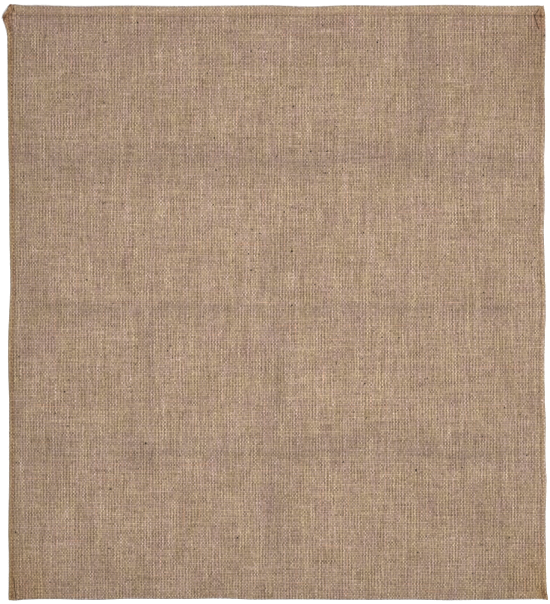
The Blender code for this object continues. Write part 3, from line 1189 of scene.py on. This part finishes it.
    def _doubled(self, spot: Spot) -> Val:
        """Finds where the cloth lies double or more, in the hems and the side seams.

        Args:
            spot: the point of the cloth.

        Returns:
            1 there, and 0 elsewhere.
        """
        graph, hem, edge = spot.graph, self.sewing.hem, self.PLY_EDGE
        back, seam = 2.0 * self.length - hem, self.width / 2.0 - self.sewing.strip
        in_front_hem = graph.fade(spot.along, hem - edge, hem + edge)
        in_back_hem = graph.ramp(spot.along, back - edge, back + edge)
        in_seam = graph.ramp(abs(spot.across), seam - edge, seam + edge)
        return graph.maths("MAXIMUM", graph.maths("MAXIMUM", in_front_hem, in_back_hem), in_seam)


@dataclass(frozen=True)
class TwineFinish:
    """Sewing twine: two yarns twisted together.

    Attributes:
        name: the twine.
        light: the paler colour: the twine's speckles and, as painted light, its high side.
        dark: the darker colour: the twine's speckles and, as painted shade, the furrow between its yarns.
        roughness: how matt it is.
    """

    name: str
    light: Colour
    dark: Colour
    roughness: float = 0.8

    SPECKLE = 0.0011  # the size of a speckle
    TURN = 0.0016  # how long one turn of the two yarns is
    FURROW = 0.00005  # how deep the furrow between them is

    def make(self) -> bpy.types.Material:
        """Builds the finish.

        Returns:
            The material.
        """
        graph = Graph(self.name)
        x, y, z = graph.object_place()
        speckle = graph.noise(graph.vector(x / self.SPECKLE, y / self.SPECKLE, z / self.SPECKLE), 2.0)
        twist = graph.maths("SINE", (x + y) * (2.0 * math.pi / self.TURN))
        # The colour follows the twist a little, as painted shade in the furrow, and the speckles mostly.
        share = graph.ramp(twist * 0.18 + speckle, 0.35, 0.65)
        surface = {"Base Color": graph.mix(share, self.dark, self.light), "Roughness": self.roughness}
        surface.update({"Normal": graph.bump(twist * self.FURROW), "Specular IOR Level": 0.15})
        graph.surface(surface)
        return graph.material


DARK_TWINE = TwineFinish("dark_twine", linear(118, 72, 42), linear(62, 36, 20))
PALE_TWINE = TwineFinish("pale_twine", linear(170, 136, 104), linear(122, 90, 62))


@dataclass(frozen=True)
class BarkFinish:
    """Bits of bark and root left in the yarn.

    Attributes:
        dark: the darkest of its streaks.
        light: the palest.
        roughness: how matt it is.
    """

    dark: Colour = linear(18, 12, 9)
    light: Colour = linear(50, 34, 23)
    roughness: float = 0.85

    STREAK = (0.0006, 0.0009)  # how wide and how long a streak is

    def make(self) -> bpy.types.Material:
        """Builds the finish.

        Returns:
            The material.
        """
        graph = Graph("bark")
        x, y, z = graph.object_place()
        wide, long = self.STREAK
        streaks = graph.noise(graph.vector(x / wide, y / long, z / wide), 2.0)
        colour = graph.mix(streaks, self.dark, self.light)
        graph.surface({"Base Color": colour, "Roughness": self.roughness, "Specular IOR Level": 0.06})
        return graph.material


@dataclass(frozen=True)
class FibreFinish:
    """Loose jute fibre, paler than the yarn.

    Attributes:
        colour: its colour.
        roughness: how matt it is.
    """

    colour: Colour = linear(172, 150, 124)
    roughness: float = 0.7

    def make(self) -> bpy.types.Material:
        """Builds the finish.

        Returns:
            The material.
        """
        graph = Graph("loose_fibre")
        graph.surface({"Base Color": self.colour, "Roughness": self.roughness})
        return graph.material


@dataclass(frozen=True)
class FloorFinish:
    """A plain pale floor.

    Attributes:
        colour: its colour.
    """

    colour: Colour = (0.97, 0.97, 0.97)

    def make(self) -> bpy.types.Material:
        """Builds the finish.

        Returns:
            The material.
        """
        graph = Graph("pale_floor")
        graph.surface({"Base Color": self.colour, "Roughness": 1.0, "Specular IOR Level": 0.0})
        return graph.material


# ----------------------------------------------------------------------------------------------
# Pieces
# ----------------------------------------------------------------------------------------------


def shown(name: str, mesh: bpy.types.Mesh, material: bpy.types.Material) -> bpy.types.Object:
    """Makes a piece of the sack from a mesh.

    Args:
        name: the piece's name.
        mesh: its mesh.
        material: its finish.

    Returns:
        The piece, riding on the sack.
    """
    mesh.materials.append(material)
    mesh.shade_smooth()
    piece = bpy.data.objects.new(name, mesh)
    bpy.context.scene.collection.objects.link(piece)
    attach(piece, BODY)
    log.info("%s: %d faces", name, len(mesh.polygons))
    return piece


@dataclass
class Tubes:
    """Gathers many thin tubes into one mesh.

    Attributes:
        sides: how many sides each tube has.
        points: each tube's points.
        faces: the faces of all of them.
        count: how many points there are so far.
    """

    sides: int
    points: list[Array] = field(default_factory=list)
    faces: list[Array] = field(default_factory=list)
    count: int = 0

    def add(self, path: Array, radii: Array) -> None:
        """Adds a tube with closed ends.

        Args:
            path: the points down its middle, one a row.
            radii: its radius at each point.
        """
        along = np.gradient(path, axis=0)
        along /= np.linalg.norm(along, axis=1, keepdims=True)
        side = np.cross(along, (0.0, 0.0, 1.0))
        short = np.linalg.norm(side, axis=1, keepdims=True) < 1e-6
        side = np.where(short, (1.0, 0.0, 0.0), side)
        side /= np.linalg.norm(side, axis=1, keepdims=True)
        up = np.cross(side, along)
        turn = np.arange(self.sides) * 2.0 * math.pi / self.sides
        ring = side[:, None] * np.cos(turn)[None, :, None] + up[:, None] * np.sin(turn)[None, :, None]
        rings = path[:, None] + ring * np.asarray(radii)[:, None, None]
        self.points.append(rings.reshape(-1, 3))
        corner = np.arange(self.sides)
        following = (corner + 1) % self.sides
        for k in range(len(path) - 1):
            low = self.count + k * self.sides
            high = low + self.sides
            wall = [low + corner, low + following, high + following, high + corner]
            self.faces += np.stack(wall, axis=1).tolist()
        last = self.count + (len(path) - 1) * self.sides
        self.faces += [(self.count + corner[::-1]).tolist(), (last + corner).tolist()]
        self.count += len(path) * self.sides

    def mesh(self, name: str) -> bpy.types.Mesh:
        """Ends the gathering.

        Args:
            name: the mesh's name.

        Returns:
            The mesh of all the tubes.
        """
        made = bpy.data.meshes.new(name)
        made.from_pydata(np.concatenate(self.points).tolist(), [], self.faces)
        return made


@dataclass
class SackCloth:
    """The sack's one length of hessian, hemmed, folded and turned in as it is sewn.

    The sheet is a grid. Its columns run along the cloth, from one turned-in allowance to the other, and
    its rows run across it, from the front's hem, down the front, round the bottom fold and up the back.

    Attributes:
        lie: how the sack lies.
        cell: the widest mesh cell over the front.
        back_cell: the widest mesh cell along the back.
    """

    lie: Lie
    cell: float = 0.0052
    back_cell: float = 0.016

    NAME = "sack"
    ARC_STEPS = 4  # mesh cells round each fold
    FRONT_SHARE = 0.74  # how much of the flat layout the front has
    RIM = 0.004  # how much of the layout is left bare round its edge

    def _side_lines(self) -> Array:
        """Places the mesh's lines over half of the cloth, closest where it is sewn and turned.

        Returns:
            Their places across, from the sack's middle out to the allowance's edge.
        """
        sewing, half = self.lie.sewing, self.lie.outline.width / 2.0
        turn = self._turn(self.lie.pressed_ply)
        inland = np.array([0.0012, 0.0028, 0.0044, sewing.strip, 0.0066, 0.0076, sewing.groove, 0.0098])
        slope = np.array([0.0118, 0.0145, 0.018, 0.022, 0.027])
        free = np.arange(0.0, half - 0.031, self.cell)
        arc = half + np.linspace(-turn, turn, self.ARC_STEPS + 1)
        tucked = half + np.array([0.003, 0.0065, sewing.allowance])
        return np.sort(np.concatenate([free, half - inland, half - slope, arc, tucked]))

    def _columns(self) -> Array:
        """Places across the whole cloth, measured from its middle."""
        half = self._side_lines()
        return np.concatenate([-half[:0:-1], half])

    def _hem_lines(self) -> Array:
        """Places the mesh's lines near a mouth, closest where the hem is turned and ends.

        Returns:
            Their places along, measured from the mouth's folded edge down.
        """
        sewing = self.lie.sewing
        turn = self._turn(self.lie.ply)
        arc = np.linspace(-turn, turn, self.ARC_STEPS + 1)
        tucked = -np.array([sewing.hem, 0.011, 0.005])
        step = sewing.hem + np.array([-0.0014, 0.0, 0.001, 0.002, 0.0032, 0.0052])
        return np.concatenate([tucked, arc, [0.003, 0.006, 0.0095, 0.0128], step])

    def _rows(self) -> Array:
        """Places the mesh's lines down the whole cloth.

        Returns:
            Their places along, measured from the front mouth's folded edge.
        """
        length = self.lie.outline.length
        near_mouth = self._hem_lines()
        turn = self._turn(self.lie.fold - self.lie.ply)
        front = np.arange(near_mouth[-1] + 0.003, length - 0.012, self.cell * 0.84)
        fold = length + np.array([-0.0095, -0.0070, -0.0048, -0.0030])
        arc = length + np.linspace(-turn, turn, self.ARC_STEPS + 3)
        back_start, back_end = length + 0.004, 2.0 * length - near_mouth[-1] - 0.006
        back = np.linspace(back_start, back_end, round((back_end - back_start) / self.back_cell))
        return np.concatenate([near_mouth, front, fold, arc, back, 2.0 * length - near_mouth[::-1]])

    @staticmethod
    def _turn(gap: float) -> float:
        """Half the length of cloth that turns round a fold between two plies this far apart."""
        return gap / 2.0 * math.pi / 2.0

    @staticmethod
    def _round_fold(past: Array, gap: float) -> tuple[Array, Array]:
        """Takes cloth round a fold.

        Args:
            past: how far along the cloth points are past the fold, and less than 0 before it.
            gap: how far apart the two plies are.

        Returns:
            How far in from the folded edge each point lies, and how far round it is, from 0 to 1.
        """
        radius = gap / 2.0
        angle = np.clip(past / radius + math.pi / 2.0, 0.0, math.pi)
        flat = np.maximum(np.abs(past) - radius * math.pi / 2.0, 0.0)
        return flat + radius * (1.0 - np.sin(angle)), (1.0 - np.cos(angle)) / 2.0

    def _points(self, across: Array, along: Array) -> tuple[Array, Array]:
        """Where the cloth's points lie, and how much painted shade the creases get there.

        Args:
            across: the points' places across the cloth, as a grid.
            along: their places along the cloth, as a grid.

        Returns:
            The points, and one crease shade value for each.
        """
        lie = self.lie
        half_width, length = lie.outline.width / 2.0, lie.outline.length
        side_in, tucked = self._round_fold(np.abs(across) - half_width, lie.pressed_ply)
        x = np.sign(across) * (half_width - side_in)
        from_front_mouth = self._round_fold(-along, lie.ply)
        from_back_mouth = self._round_fold(along - 2.0 * length, lie.ply)
        at_bottom, turned_back = self._round_fold(along - length, lie.fold - lie.ply)
        mouth_in = np.minimum(from_front_mouth[0], from_back_mouth[0])
        hemmed = np.maximum(from_front_mouth[1], from_back_mouth[1])
        y = np.where(mouth_in < at_bottom, length / 2.0 - mouth_in, at_bottom - length / 2.0)

        ply = lie.ply_at(x)
        in_hem = lie.hem_share(y)
        order = hemmed * (1.0 - 2.0 * tucked) + tucked * (1.0 + 2.0 * in_hem)
        depth = (order + 0.5) * ply
        top = lie.front(x, y)
        height = depth + (top - 2.0 * depth) * (1.0 - turned_back)
        inner = tucked * ply * np.sin(turned_back * math.pi)
        out_x, out_y = lie.outline.place(x, y + inner)
        crease_shading = lie.crease_shading(x, y) * (1.0 - turned_back) * lie.lift(x, y)
        return np.stack([out_x, out_y, height], axis=-1), crease_shading

    def build(self, material: bpy.types.Material) -> bpy.types.Object:
        """Makes the sheet.

        Args:
            material: the hessian.

        Returns:
            The piece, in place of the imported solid.
        """
        across, along = np.meshgrid(self._columns(), self._rows())
        points, crease_shading = self._points(across, along)
        rows, columns = across.shape
        corner = (np.arange(rows - 1)[:, None] * columns + np.arange(columns - 1)[None]).reshape(-1)
        faces = np.stack([corner, corner + columns, corner + columns + 1, corner + 1], axis=1)
        mesh = bpy.data.meshes.new(self.NAME)
        mesh.from_pydata(points.reshape(-1, 3).tolist(), [], faces.tolist())
        place = mesh.attributes.new(CLOTH_PLACE, "FLOAT_VECTOR", "POINT")
        place.data.foreach_set("vector", np.stack([across, along, crease_shading], axis=-1).reshape(-1))
        self._lay_out(mesh, across, along)
        piece = shown(self.NAME, mesh, material)
        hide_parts(SACK_NODE)
        return piece

    def _lay_out(self, mesh: bpy.types.Mesh, across: Array, along: Array) -> None:
        """Gives the mesh a flat layout that keeps most of its room for the front.

        Args:
            mesh: the mesh.
            across: its points' places across the cloth, as a grid.
            along: their places along the cloth, as a grid.
        """
        length, hem = self.lie.outline.length, self.lie.sewing.hem
        marks = (-hem, length + 0.01, 2.0 * length + hem)
        v = np.interp(along, marks, (1.0 - self.RIM, 1.0 - self.FRONT_SHARE, self.RIM))
        u = 0.5 + across / self.cut()[0] * (1.0 - 2.0 * self.RIM)
        layer = mesh.uv_layers.new(name="OFBake")
        corners = np.empty(len(mesh.loops), dtype=np.int64)
        mesh.loops.foreach_get("vertex_index", corners)
        flat = np.stack([u.reshape(-1), v.reshape(-1)], axis=1)[corners]
        layer.data.foreach_set("uv", flat.reshape(-1))

    def cut(self) -> tuple[float, float]:
        """The width and length that the cloth was cut to."""
        outline, sewing = self.lie.outline, self.lie.sewing
        return outline.width + 2.0 * sewing.allowance, 2.0 * (outline.length + sewing.hem)


@dataclass(frozen=True)
class Tack:
    """Where a side seam's end is locked.

    Attributes:
        side: the seam that it is on.
        end: the end of the seam.
        inland: from the side edge to the middle of the stitches.
        from_end: from the mouth or the bottom to them.
        heading: which way the row of stitches runs, from +X, in radians.
        slant: which way each stitch lies.
        count: how many stitches there are.
        pitch: from one to the next.
        length: how long each one is.
        cut_ends: the cut ends of twine, each a heading in degrees and a length.
    """

    side: Side
    end: End
    inland: float
    from_end: float
    heading: float
    slant: float
    count: int
    pitch: float
    length: float
    cut_ends: tuple[tuple[float, float], ...] = ()


TACKS = (
    Tack(
        Side.LEFT, End.MOUTH, 0.0035, 0.019, 1.35, 0.75, 4, 0.0030, 0.0052,
        ((150.0, 0.0060), (205.0, 0.0045)),
    ),
    Tack(Side.LEFT, End.MOUTH, 0.0085, 0.040, 1.10, 1.10, 2, 0.0040, 0.0050),
    Tack(Side.LEFT, End.MOUTH, 0.0040, 0.0009, -0.12, 1.45, 5, 0.0011, 0.0046),
    Tack(Side.RIGHT, End.MOUTH, 0.0085, 0.016, 1.30, 2.20, 3, 0.0032, 0.0055, ((250.0, 0.006),)),
    Tack(Side.LEFT, End.BOTTOM, 0.0060, 0.010, 1.57, 0.80, 3, 0.0034, 0.0050, ((265.0, 0.007),)),
    Tack(Side.RIGHT, End.BOTTOM, 0.0060, 0.012, 1.57, 2.30, 3, 0.0034, 0.0050, ((300.0, 0.006),)),
)


@dataclass
class Stitching:
    """All the stitches of the sack.

    Attributes:
        lie: how the sack lies.
        radius: the twine's radius.
        rise: how far a stitch's middle stands over the cloth.
        sink: how far its ends go down into the cloth.
    """

    lie: Lie
    radius: float = 0.00050
    rise: float = 0.00018
    sink: float = 0.00075

    SIDES = 6
    UNEVEN = 0.00030  # how far the needle strays off its line
    FROM_END = 0.004  # from the sack's ends to where the side stitches stop
    FROM_SIDE = 0.011  # from its sides to where the hem stitches stop
    GAP = 0.0022  # from the end of one stitch to the start of the next
    LEAN = 0.00035  # how far each stitch leans off its line
    WRAP = 0.0012  # a stitch this far past an end has gone round the edge to the middle of the cloth

    def _stitch(self, tubes: Tubes, start: Array, end: Array, under: bool) -> None:
        """Adds one stitch.

        Args:
            tubes: what gathers the stitches.
            start: where the needle goes in, from the body's middle.
            end: where it comes out.
            under: whether the stitch is on the sack's underside.
        """
        share = np.linspace(0.0, 1.0, 6)
        x, y = (start[k] + (end[k] - start[k]) * share for k in (0, 1))
        arch = np.sin(math.pi * share)
        over = self.rise * arch - self.sink * (1.0 - arch) ** 2
        if under:
            height = np.full(len(share), self.radius) + self.sink * (1.0 - arch) ** 2
        else:
            height = self.lie.front(x, y) + over
        past = np.clip((np.abs(y) - self.lie.outline.length / 2.0) / self.WRAP, 0.0, 1.0)
        height += (self.lie.front(x, y) / 2.0 - height) * past
        out_x, out_y = self.lie.outline.place(x, y)
        radii = self.radius * (0.65 + 0.35 * arch)
        tubes.add(np.stack([out_x, out_y, height], axis=1), radii)

    def _row(self, tubes: Tubes, start: Array, end: Array, pitch: float, seed: int) -> None:
        """Adds a row of stitches on both faces of the sack.

        Args:
            tubes: what gathers the stitches.
            start: where the row starts, from the body's middle.
            end: where it ends.
            pitch: from one stitch to the next.
            seed: what the needle's strays are drawn from.
        """
        rng = np.random.default_rng(seed)
        run = end - start
        count = int(np.linalg.norm(run) / pitch)
        heading = run / np.linalg.norm(run)
        square = np.array([-heading[1], heading[0]])
        for k in range(count):
            stray = square * rng.normal(0.0, self.UNEVEN)
            first = start + heading * (k * pitch + self.GAP / 2.0) + stray - square * self.LEAN
            last = start + heading * ((k + 1) * pitch - self.GAP / 2.0) + stray + square * self.LEAN
            self._stitch(tubes, first, last, under=False)
            self._stitch(tubes, first, last, under=True)

    def side_seam(self, side: Side, material: bpy.types.Material) -> bpy.types.Object:
        """The topstitching down one side.

        Args:
            side: which seam.
            material: the twine.

        Returns:
            The piece.
        """
        tubes = Tubes(self.SIDES)
        outline, sewing = self.lie.outline, self.lie.sewing
        x = side.value * (outline.width / 2.0 - sewing.stitch_line)
        y = outline.length / 2.0 - self.FROM_END
        self._row(tubes, np.array([x, y]), np.array([x, -y]), sewing.stitch_pitch, int(side.value) + 1)
        name = f"{side.name.lower()}_stitches"
        return shown(name, tubes.mesh(name), material)

    def hems(self, material: bpy.types.Material) -> bpy.types.Object:
        """The stitching along both mouth hems.

        Args:
            material: the twine.

        Returns:
            The piece.
        """
        tubes = Tubes(self.SIDES)
        outline, sewing = self.lie.outline, self.lie.sewing
        x, y = outline.width / 2.0 - self.FROM_SIDE, outline.length / 2.0 - sewing.hem_line
        self._row(tubes, np.array([-x, y]), np.array([x, y]), sewing.hem_pitch, 7)
        return shown("hem_stitches", tubes.mesh("hem_stitches"), material)

    def tacks(self, material: bpy.types.Material) -> bpy.types.Object:
        """The close stitches that lock the ends of the side seams, with their cut ends.

        Args:
            material: the twine.

        Returns:
            The piece.
        """
        tubes = Tubes(self.SIDES)
        outline = self.lie.outline
        half = np.array([outline.width / 2.0, outline.length / 2.0])
        for tack in TACKS:
            signs = np.array([tack.side.value, tack.end.value])
            middle = signs * (half - (tack.inland, tack.from_end))
            heading = np.array([math.cos(tack.heading), math.sin(tack.heading)])
            slant = np.array([math.cos(tack.slant), math.sin(tack.slant)]) * tack.length / 2.0
            for k in range(tack.count):
                at = middle + heading * (k - (tack.count - 1) / 2.0) * tack.pitch
                self._stitch(tubes, at - slant, at + slant, under=False)
                self._stitch(tubes, at - slant, at + slant, under=True)
            for angle, length in tack.cut_ends:
                self._cut_end(tubes, middle, math.radians(angle), length)
        return shown("corner_tacks", tubes.mesh("corner_tacks"), material)

    def _cut_end(self, tubes: Tubes, start: Array, angle: float, length: float) -> None:
        """Adds a cut end of twine, which curls over the cloth and down to the floor past its edge.

        Args:
            tubes: what gathers the stitches.
            start: where it comes out, from the body's middle.
            angle: which way it starts, from +X.
            length: how long it is.
        """
        share = np.linspace(0.0, 1.0, 8)
        bend = angle + 0.9 * share
        x = start[0] + length * share * np.cos(bend)
        y = start[1] + length * share * np.sin(bend)
        past = np.maximum(-self.lie.side_distance(x), np.abs(y) - self.lie.outline.length / 2.0)
        drop = soft_step(past / 0.004)
        over = self.lie.front(x, y) + self.radius * 1.6 * np.sin(math.pi * share * 0.8)
        height = over * (1.0 - drop) + self.radius * 1.5 * drop
        out_x, out_y = self.lie.outline.place(x, y)
        tubes.add(np.stack([out_x, out_y, height], axis=1), self.radius * (1.0 - 0.35 * share))


@dataclass
class LooseFibres:
    """Fine ends of fibre that stand out of the yarns.

    Attributes:
        lie: how the sack lies.
        on_front: how many lie over the front.
        on_edges: how many stand out past the edges.
        radius: a fibre's radius.
    """

    lie: Lie
    on_front: int = 1100
    on_edges: int = 420
    radius: float = 0.00007

    def build(self, material: bpy.types.Material) -> bpy.types.Object:
        """Makes the fibres.

        Args:
            material: their finish.

        Returns:
            The piece.
        """
        rng = np.random.default_rng(31)
        tubes = Tubes(3)
        half_width, half_length = self.lie.outline.width / 2.0, self.lie.outline.length / 2.0
        for _ in range(self.on_front):
            x = rng.uniform(-half_width + 0.012, half_width - 0.012)
            y = rng.uniform(-half_length + 0.010, half_length - 0.006)
            self._fibre(tubes, rng, x, y, rng.uniform(0.0, 2.0 * math.pi), rng.uniform(0.004, 0.013))
        for _ in range(self.on_edges):
            on_side, sign, share = rng.integers(2), rng.choice((-1.0, 1.0)), rng.uniform(-0.99, 0.99)
            if on_side:
                x, y = sign * (half_width - 0.001), share * half_length
                outward = (1.0 - sign) * math.pi / 2.0
            else:
                x, y = share * half_width, sign * (half_length - 0.001)
                outward = sign * math.pi / 2.0
            self._fibre(tubes, rng, x, y, outward + rng.normal(0.0, 0.7), rng.uniform(0.002, 0.0055))
        return shown("loose_fibres", tubes.mesh("loose_fibres"), material)

    def _fibre(
        self, tubes: Tubes, rng: np.random.Generator, x: float, y: float, heading: float, length: float
    ) -> None:
        """Adds one curling fibre that starts in the cloth and ends just over it, or past its edge.

        Args:
            tubes: what gathers the fibres.
            rng: what its curl is drawn from.
            x: where it starts across, from the body's middle.
            y: where it starts along.
            heading: which way it starts, from +X.
            length: how long it is.
        """
        share = np.linspace(0.0, 1.0, 5)
        bend = heading + rng.normal(0.0, 0.9) * share
        out_x, out_y = x + length * share * np.cos(bend), y + length * share * np.sin(bend)
        stand = rng.uniform(0.0003, 0.0012) * np.sin(math.pi * 0.75 * share) - 0.0002
        past = np.maximum(-self.lie.side_distance(out_x), np.abs(out_y) - self.lie.outline.length / 2.0)
        height = (self.lie.front(out_x, out_y) + stand) * (1.0 - 0.5 * soft_step(past / 0.003))
        place = self.lie.outline.place(out_x, out_y)
        tubes.add(np.stack([*place, height], axis=1), self.radius * (1.0 - 0.6 * share))


@dataclass(frozen=True)
class Bit:
    """A sliver of bark or root that stays in the yarn.

    Attributes:
        x: its place across the sack.
        y: its place along it.
        length: how long it is.
        heading: which way it lies, in degrees.
        girth: half its width.
    """

    x: float
    y: float
    length: float
    heading: float
    girth: float


BITS = (
    Bit(-0.240, -0.260, 0.0036, 35.0, 0.0016),
    Bit(-0.070, -0.435, 0.0034, 20.0, 0.0014),
    Bit(0.030, 0.095, 0.0036, 70.0, 0.0014),
    Bit(0.260, -0.310, 0.0064, 85.0, 0.0010),
    Bit(-0.305, -0.345, 0.0036, 5.0, 0.0013),
    Bit(0.065, 0.280, 0.0034, 80.0, 0.0012),
    Bit(0.125, -0.295, 0.0036, 15.0, 0.0012),
    Bit(-0.390, -0.165, 0.0032, 60.0, 0.0012),
    Bit(-0.110, 0.245, 0.0032, 25.0, 0.0012),
    Bit(-0.195, -0.080, 0.0032, 75.0, 0.0011),
    Bit(0.095, 0.280, 0.0036, 10.0, 0.0010),
    Bit(0.165, -0.150, 0.0030, 50.0, 0.0011),
    Bit(0.030, -0.005, 0.0034, 20.0, 0.0011),
    Bit(0.345, -0.305, 0.0030, 40.0, 0.0010),
    Bit(-0.045, 0.060, 0.0048, 10.0, 0.0010),
    Bit(-0.050, 0.090, 0.0032, 60.0, 0.0010),
    Bit(-0.045, 0.465, 0.0030, 80.0, 0.0010),
    Bit(0.385, 0.235, 0.0028, 45.0, 0.0010),
    Bit(0.498, 0.495, 0.0036, 60.0, 0.0010),
)


@dataclass
class BarkBits:
    """The slivers of bark over the front.

    Attributes:
        lie: how the sack lies.
        bits: the slivers that stand out.
        fullness: what the width of every sliver and crumb is multiplied by.
        crumbs: how many small crumbs lie between them.
        crumb_reach: how far the crumbs go from the middle, across and along.
        crumb_length: the shortest and the longest crumb.
        crumb_girth: half the width of the thinnest and of the widest crumb.
    """

    lie: Lie
    bits: tuple[Bit, ...] = BITS
    fullness: float = 1.36
    crumbs: int = 116
    crumb_reach: tuple[float, float] = (0.485, 0.530)
    crumb_length: tuple[float, float] = (0.0022, 0.0038)
    crumb_girth: tuple[float, float] = (0.0005, 0.0010)

    PROUD = 0.00045  # how far a sliver's middle stands over the cloth
    BEND = 0.0002  # how much lower its ends lie

    def _crumbs(self) -> list[Bit]:
        """Scatters the crumbs over the whole front.

        Returns:
            The crumbs.
        """
        draw = np.random.default_rng(31)
        across, along = self.crumb_reach
        crumbs = []
        for _ in range(self.crumbs):
            x, y = draw.uniform(-across, across), draw.uniform(-along, along)
            length, heading = draw.uniform(*self.crumb_length), draw.uniform(0.0, 180.0)
            crumbs.append(Bit(x, y, length, heading, draw.uniform(*self.crumb_girth)))
        return crumbs

    def build(self, material: bpy.types.Material) -> bpy.types.Object:
        """Makes the slivers.

        Args:
            material: the bark.

        Returns:
            The piece.
        """
        tubes = Tubes(7)
        middle = self.lie.outline.middle
        share = np.linspace(-1.0, 1.0, 9)
        for bit in [*self.bits, *self._crumbs()]:
            heading, run = math.radians(bit.heading), share * bit.length / 2.0
            along_x = bit.x - middle.x + run * math.cos(heading)
            along_y = bit.y - middle.y + run * math.sin(heading)
            height = self.lie.front(along_x, along_y) + self.PROUD - self.BEND * share**2
            path = np.stack([along_x + middle.x, along_y + middle.y, height], axis=1)
            ragged = 0.86 + 0.14 * np.sin(5.0 * share + 900.0 * bit.x)
            tubes.add(path, self.fullness * bit.girth * ragged * np.sqrt(1.02 - share**2))
        return shown("bark_bits", tubes.mesh("bark_bits"), material)


# ----------------------------------------------------------------------------------------------
# Studio
# ----------------------------------------------------------------------------------------------


@dataclass(frozen=True)
class Lamp:
    """A soft square light that faces the sack.

    Attributes:
        name: the light's name.
        place: where it hangs.
        size: its side.
        power: how strong it is, in watts.
        colour: its colour.
    """

    name: str
    place: tuple[float, float, float]
    size: float
    power: float
    colour: Colour

    def hang(self) -> None:
        """Hangs the light."""
        data = bpy.data.lights.new(self.name, "AREA")
        data.energy, data.size, data.color = self.power, self.size, self.colour
        lamp = bpy.data.objects.new(self.name, data)
        lamp.location = self.place
        lamp.rotation_euler = (-Vector(self.place)).to_track_quat("-Z", "Y").to_euler()
        bpy.context.scene.collection.objects.link(lamp)


LAMPS = (
    Lamp("key", (2.9, 2.6, 2.6), 1.6, 156.0, (1.0, 0.99, 0.97)),
    Lamp("overhead", (0.0, -0.10, 1.2), 0.8, 15.0, (0.98, 0.99, 1.0)),
)


@dataclass
class Studio:
    """A plain pale floor, soft light, and a camera straight above.

    Attributes:
        floor_size: the floor's side.
        view_height: how much of the floor the frame's long side shows.
        camera_height: how high the camera is.
        camera_x: how far the camera is off the middle, across.
        camera_y: the same along.
        room_light: how strong the even light of the room is.
    """

    floor_size: float = 14.0
    view_height: float = 1.1207
    camera_height: float = 4.0
    camera_x: float = -0.0011
    camera_y: float = 0.0010
    room_light: float = 0.72

    SENSOR = 36.0  # the camera's sensor, in millimetres

    def floor(self) -> None:
        """Lays the floor."""
        half = self.floor_size / 2.0
        corners = [(-half, -half, 0.0), (half, -half, 0.0), (half, half, 0.0), (-half, half, 0.0)]
        mesh = bpy.data.meshes.new("floor")
        mesh.from_pydata(corners, [], [(0, 1, 2, 3)])
        mesh.materials.append(FloorFinish().make())
        floor = bpy.data.objects.new("floor", mesh)
        bpy.context.scene.collection.objects.link(floor)

    def room(self) -> None:
        """Fills the studio with even light from its pale walls."""
        world = bpy.data.worlds.new("studio")
        world.use_nodes = True
        background = world.node_tree.nodes["Background"]
        background.inputs["Color"].default_value = (1.0, 1.0, 1.0, 1.0)
        background.inputs["Strength"].default_value = self.room_light
        bpy.context.scene.world = world

    def camera(self) -> None:
        """Sets up the camera straight above."""
        data = bpy.data.cameras.new("camera")
        data.sensor_width = self.SENSOR
        data.lens = self.SENSOR * self.camera_height / self.view_height
        camera = bpy.data.objects.new("camera", data)
        camera.location = (self.camera_x, self.camera_y, self.camera_height)
        bpy.context.scene.collection.objects.link(camera)
        bpy.context.scene.camera = camera

    def build(self) -> None:
        """Sets up the whole studio."""
        self.floor()
        self.room()
        for lamp in LAMPS:
            lamp.hang()
        self.camera()
        bpy.context.scene.view_settings.view_transform = "Standard"


def main() -> None:
    """Builds the sack and its studio."""
    logging.basicConfig(level=logging.INFO, format="%(name)s: %(message)s")
    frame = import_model()
    outline = Outline(frame["nodes"][SACK_NODE])
    lie = Lie(outline)
    log.info("body %.4f x %.4f m", outline.width, outline.length)

    hessian = HessianFinish(lie.sewing, outline.width, outline.length).make()
    dark, pale = DARK_TWINE.make(), PALE_TWINE.make()
    cloth = SackCloth(lie)
    sack = cloth.build(hessian)
    stitching = Stitching(lie)
    trims = [
        stitching.side_seam(Side.LEFT, dark),
        stitching.side_seam(Side.RIGHT, pale),
        stitching.hems(pale),
        stitching.tacks(dark),
        BarkBits(lie).build(BarkFinish().make()),
        LooseFibres(lie).build(FibreFinish().make()),
    ]
    Studio().build()
    cloth.cut()


if __name__ == "__main__":
    main()
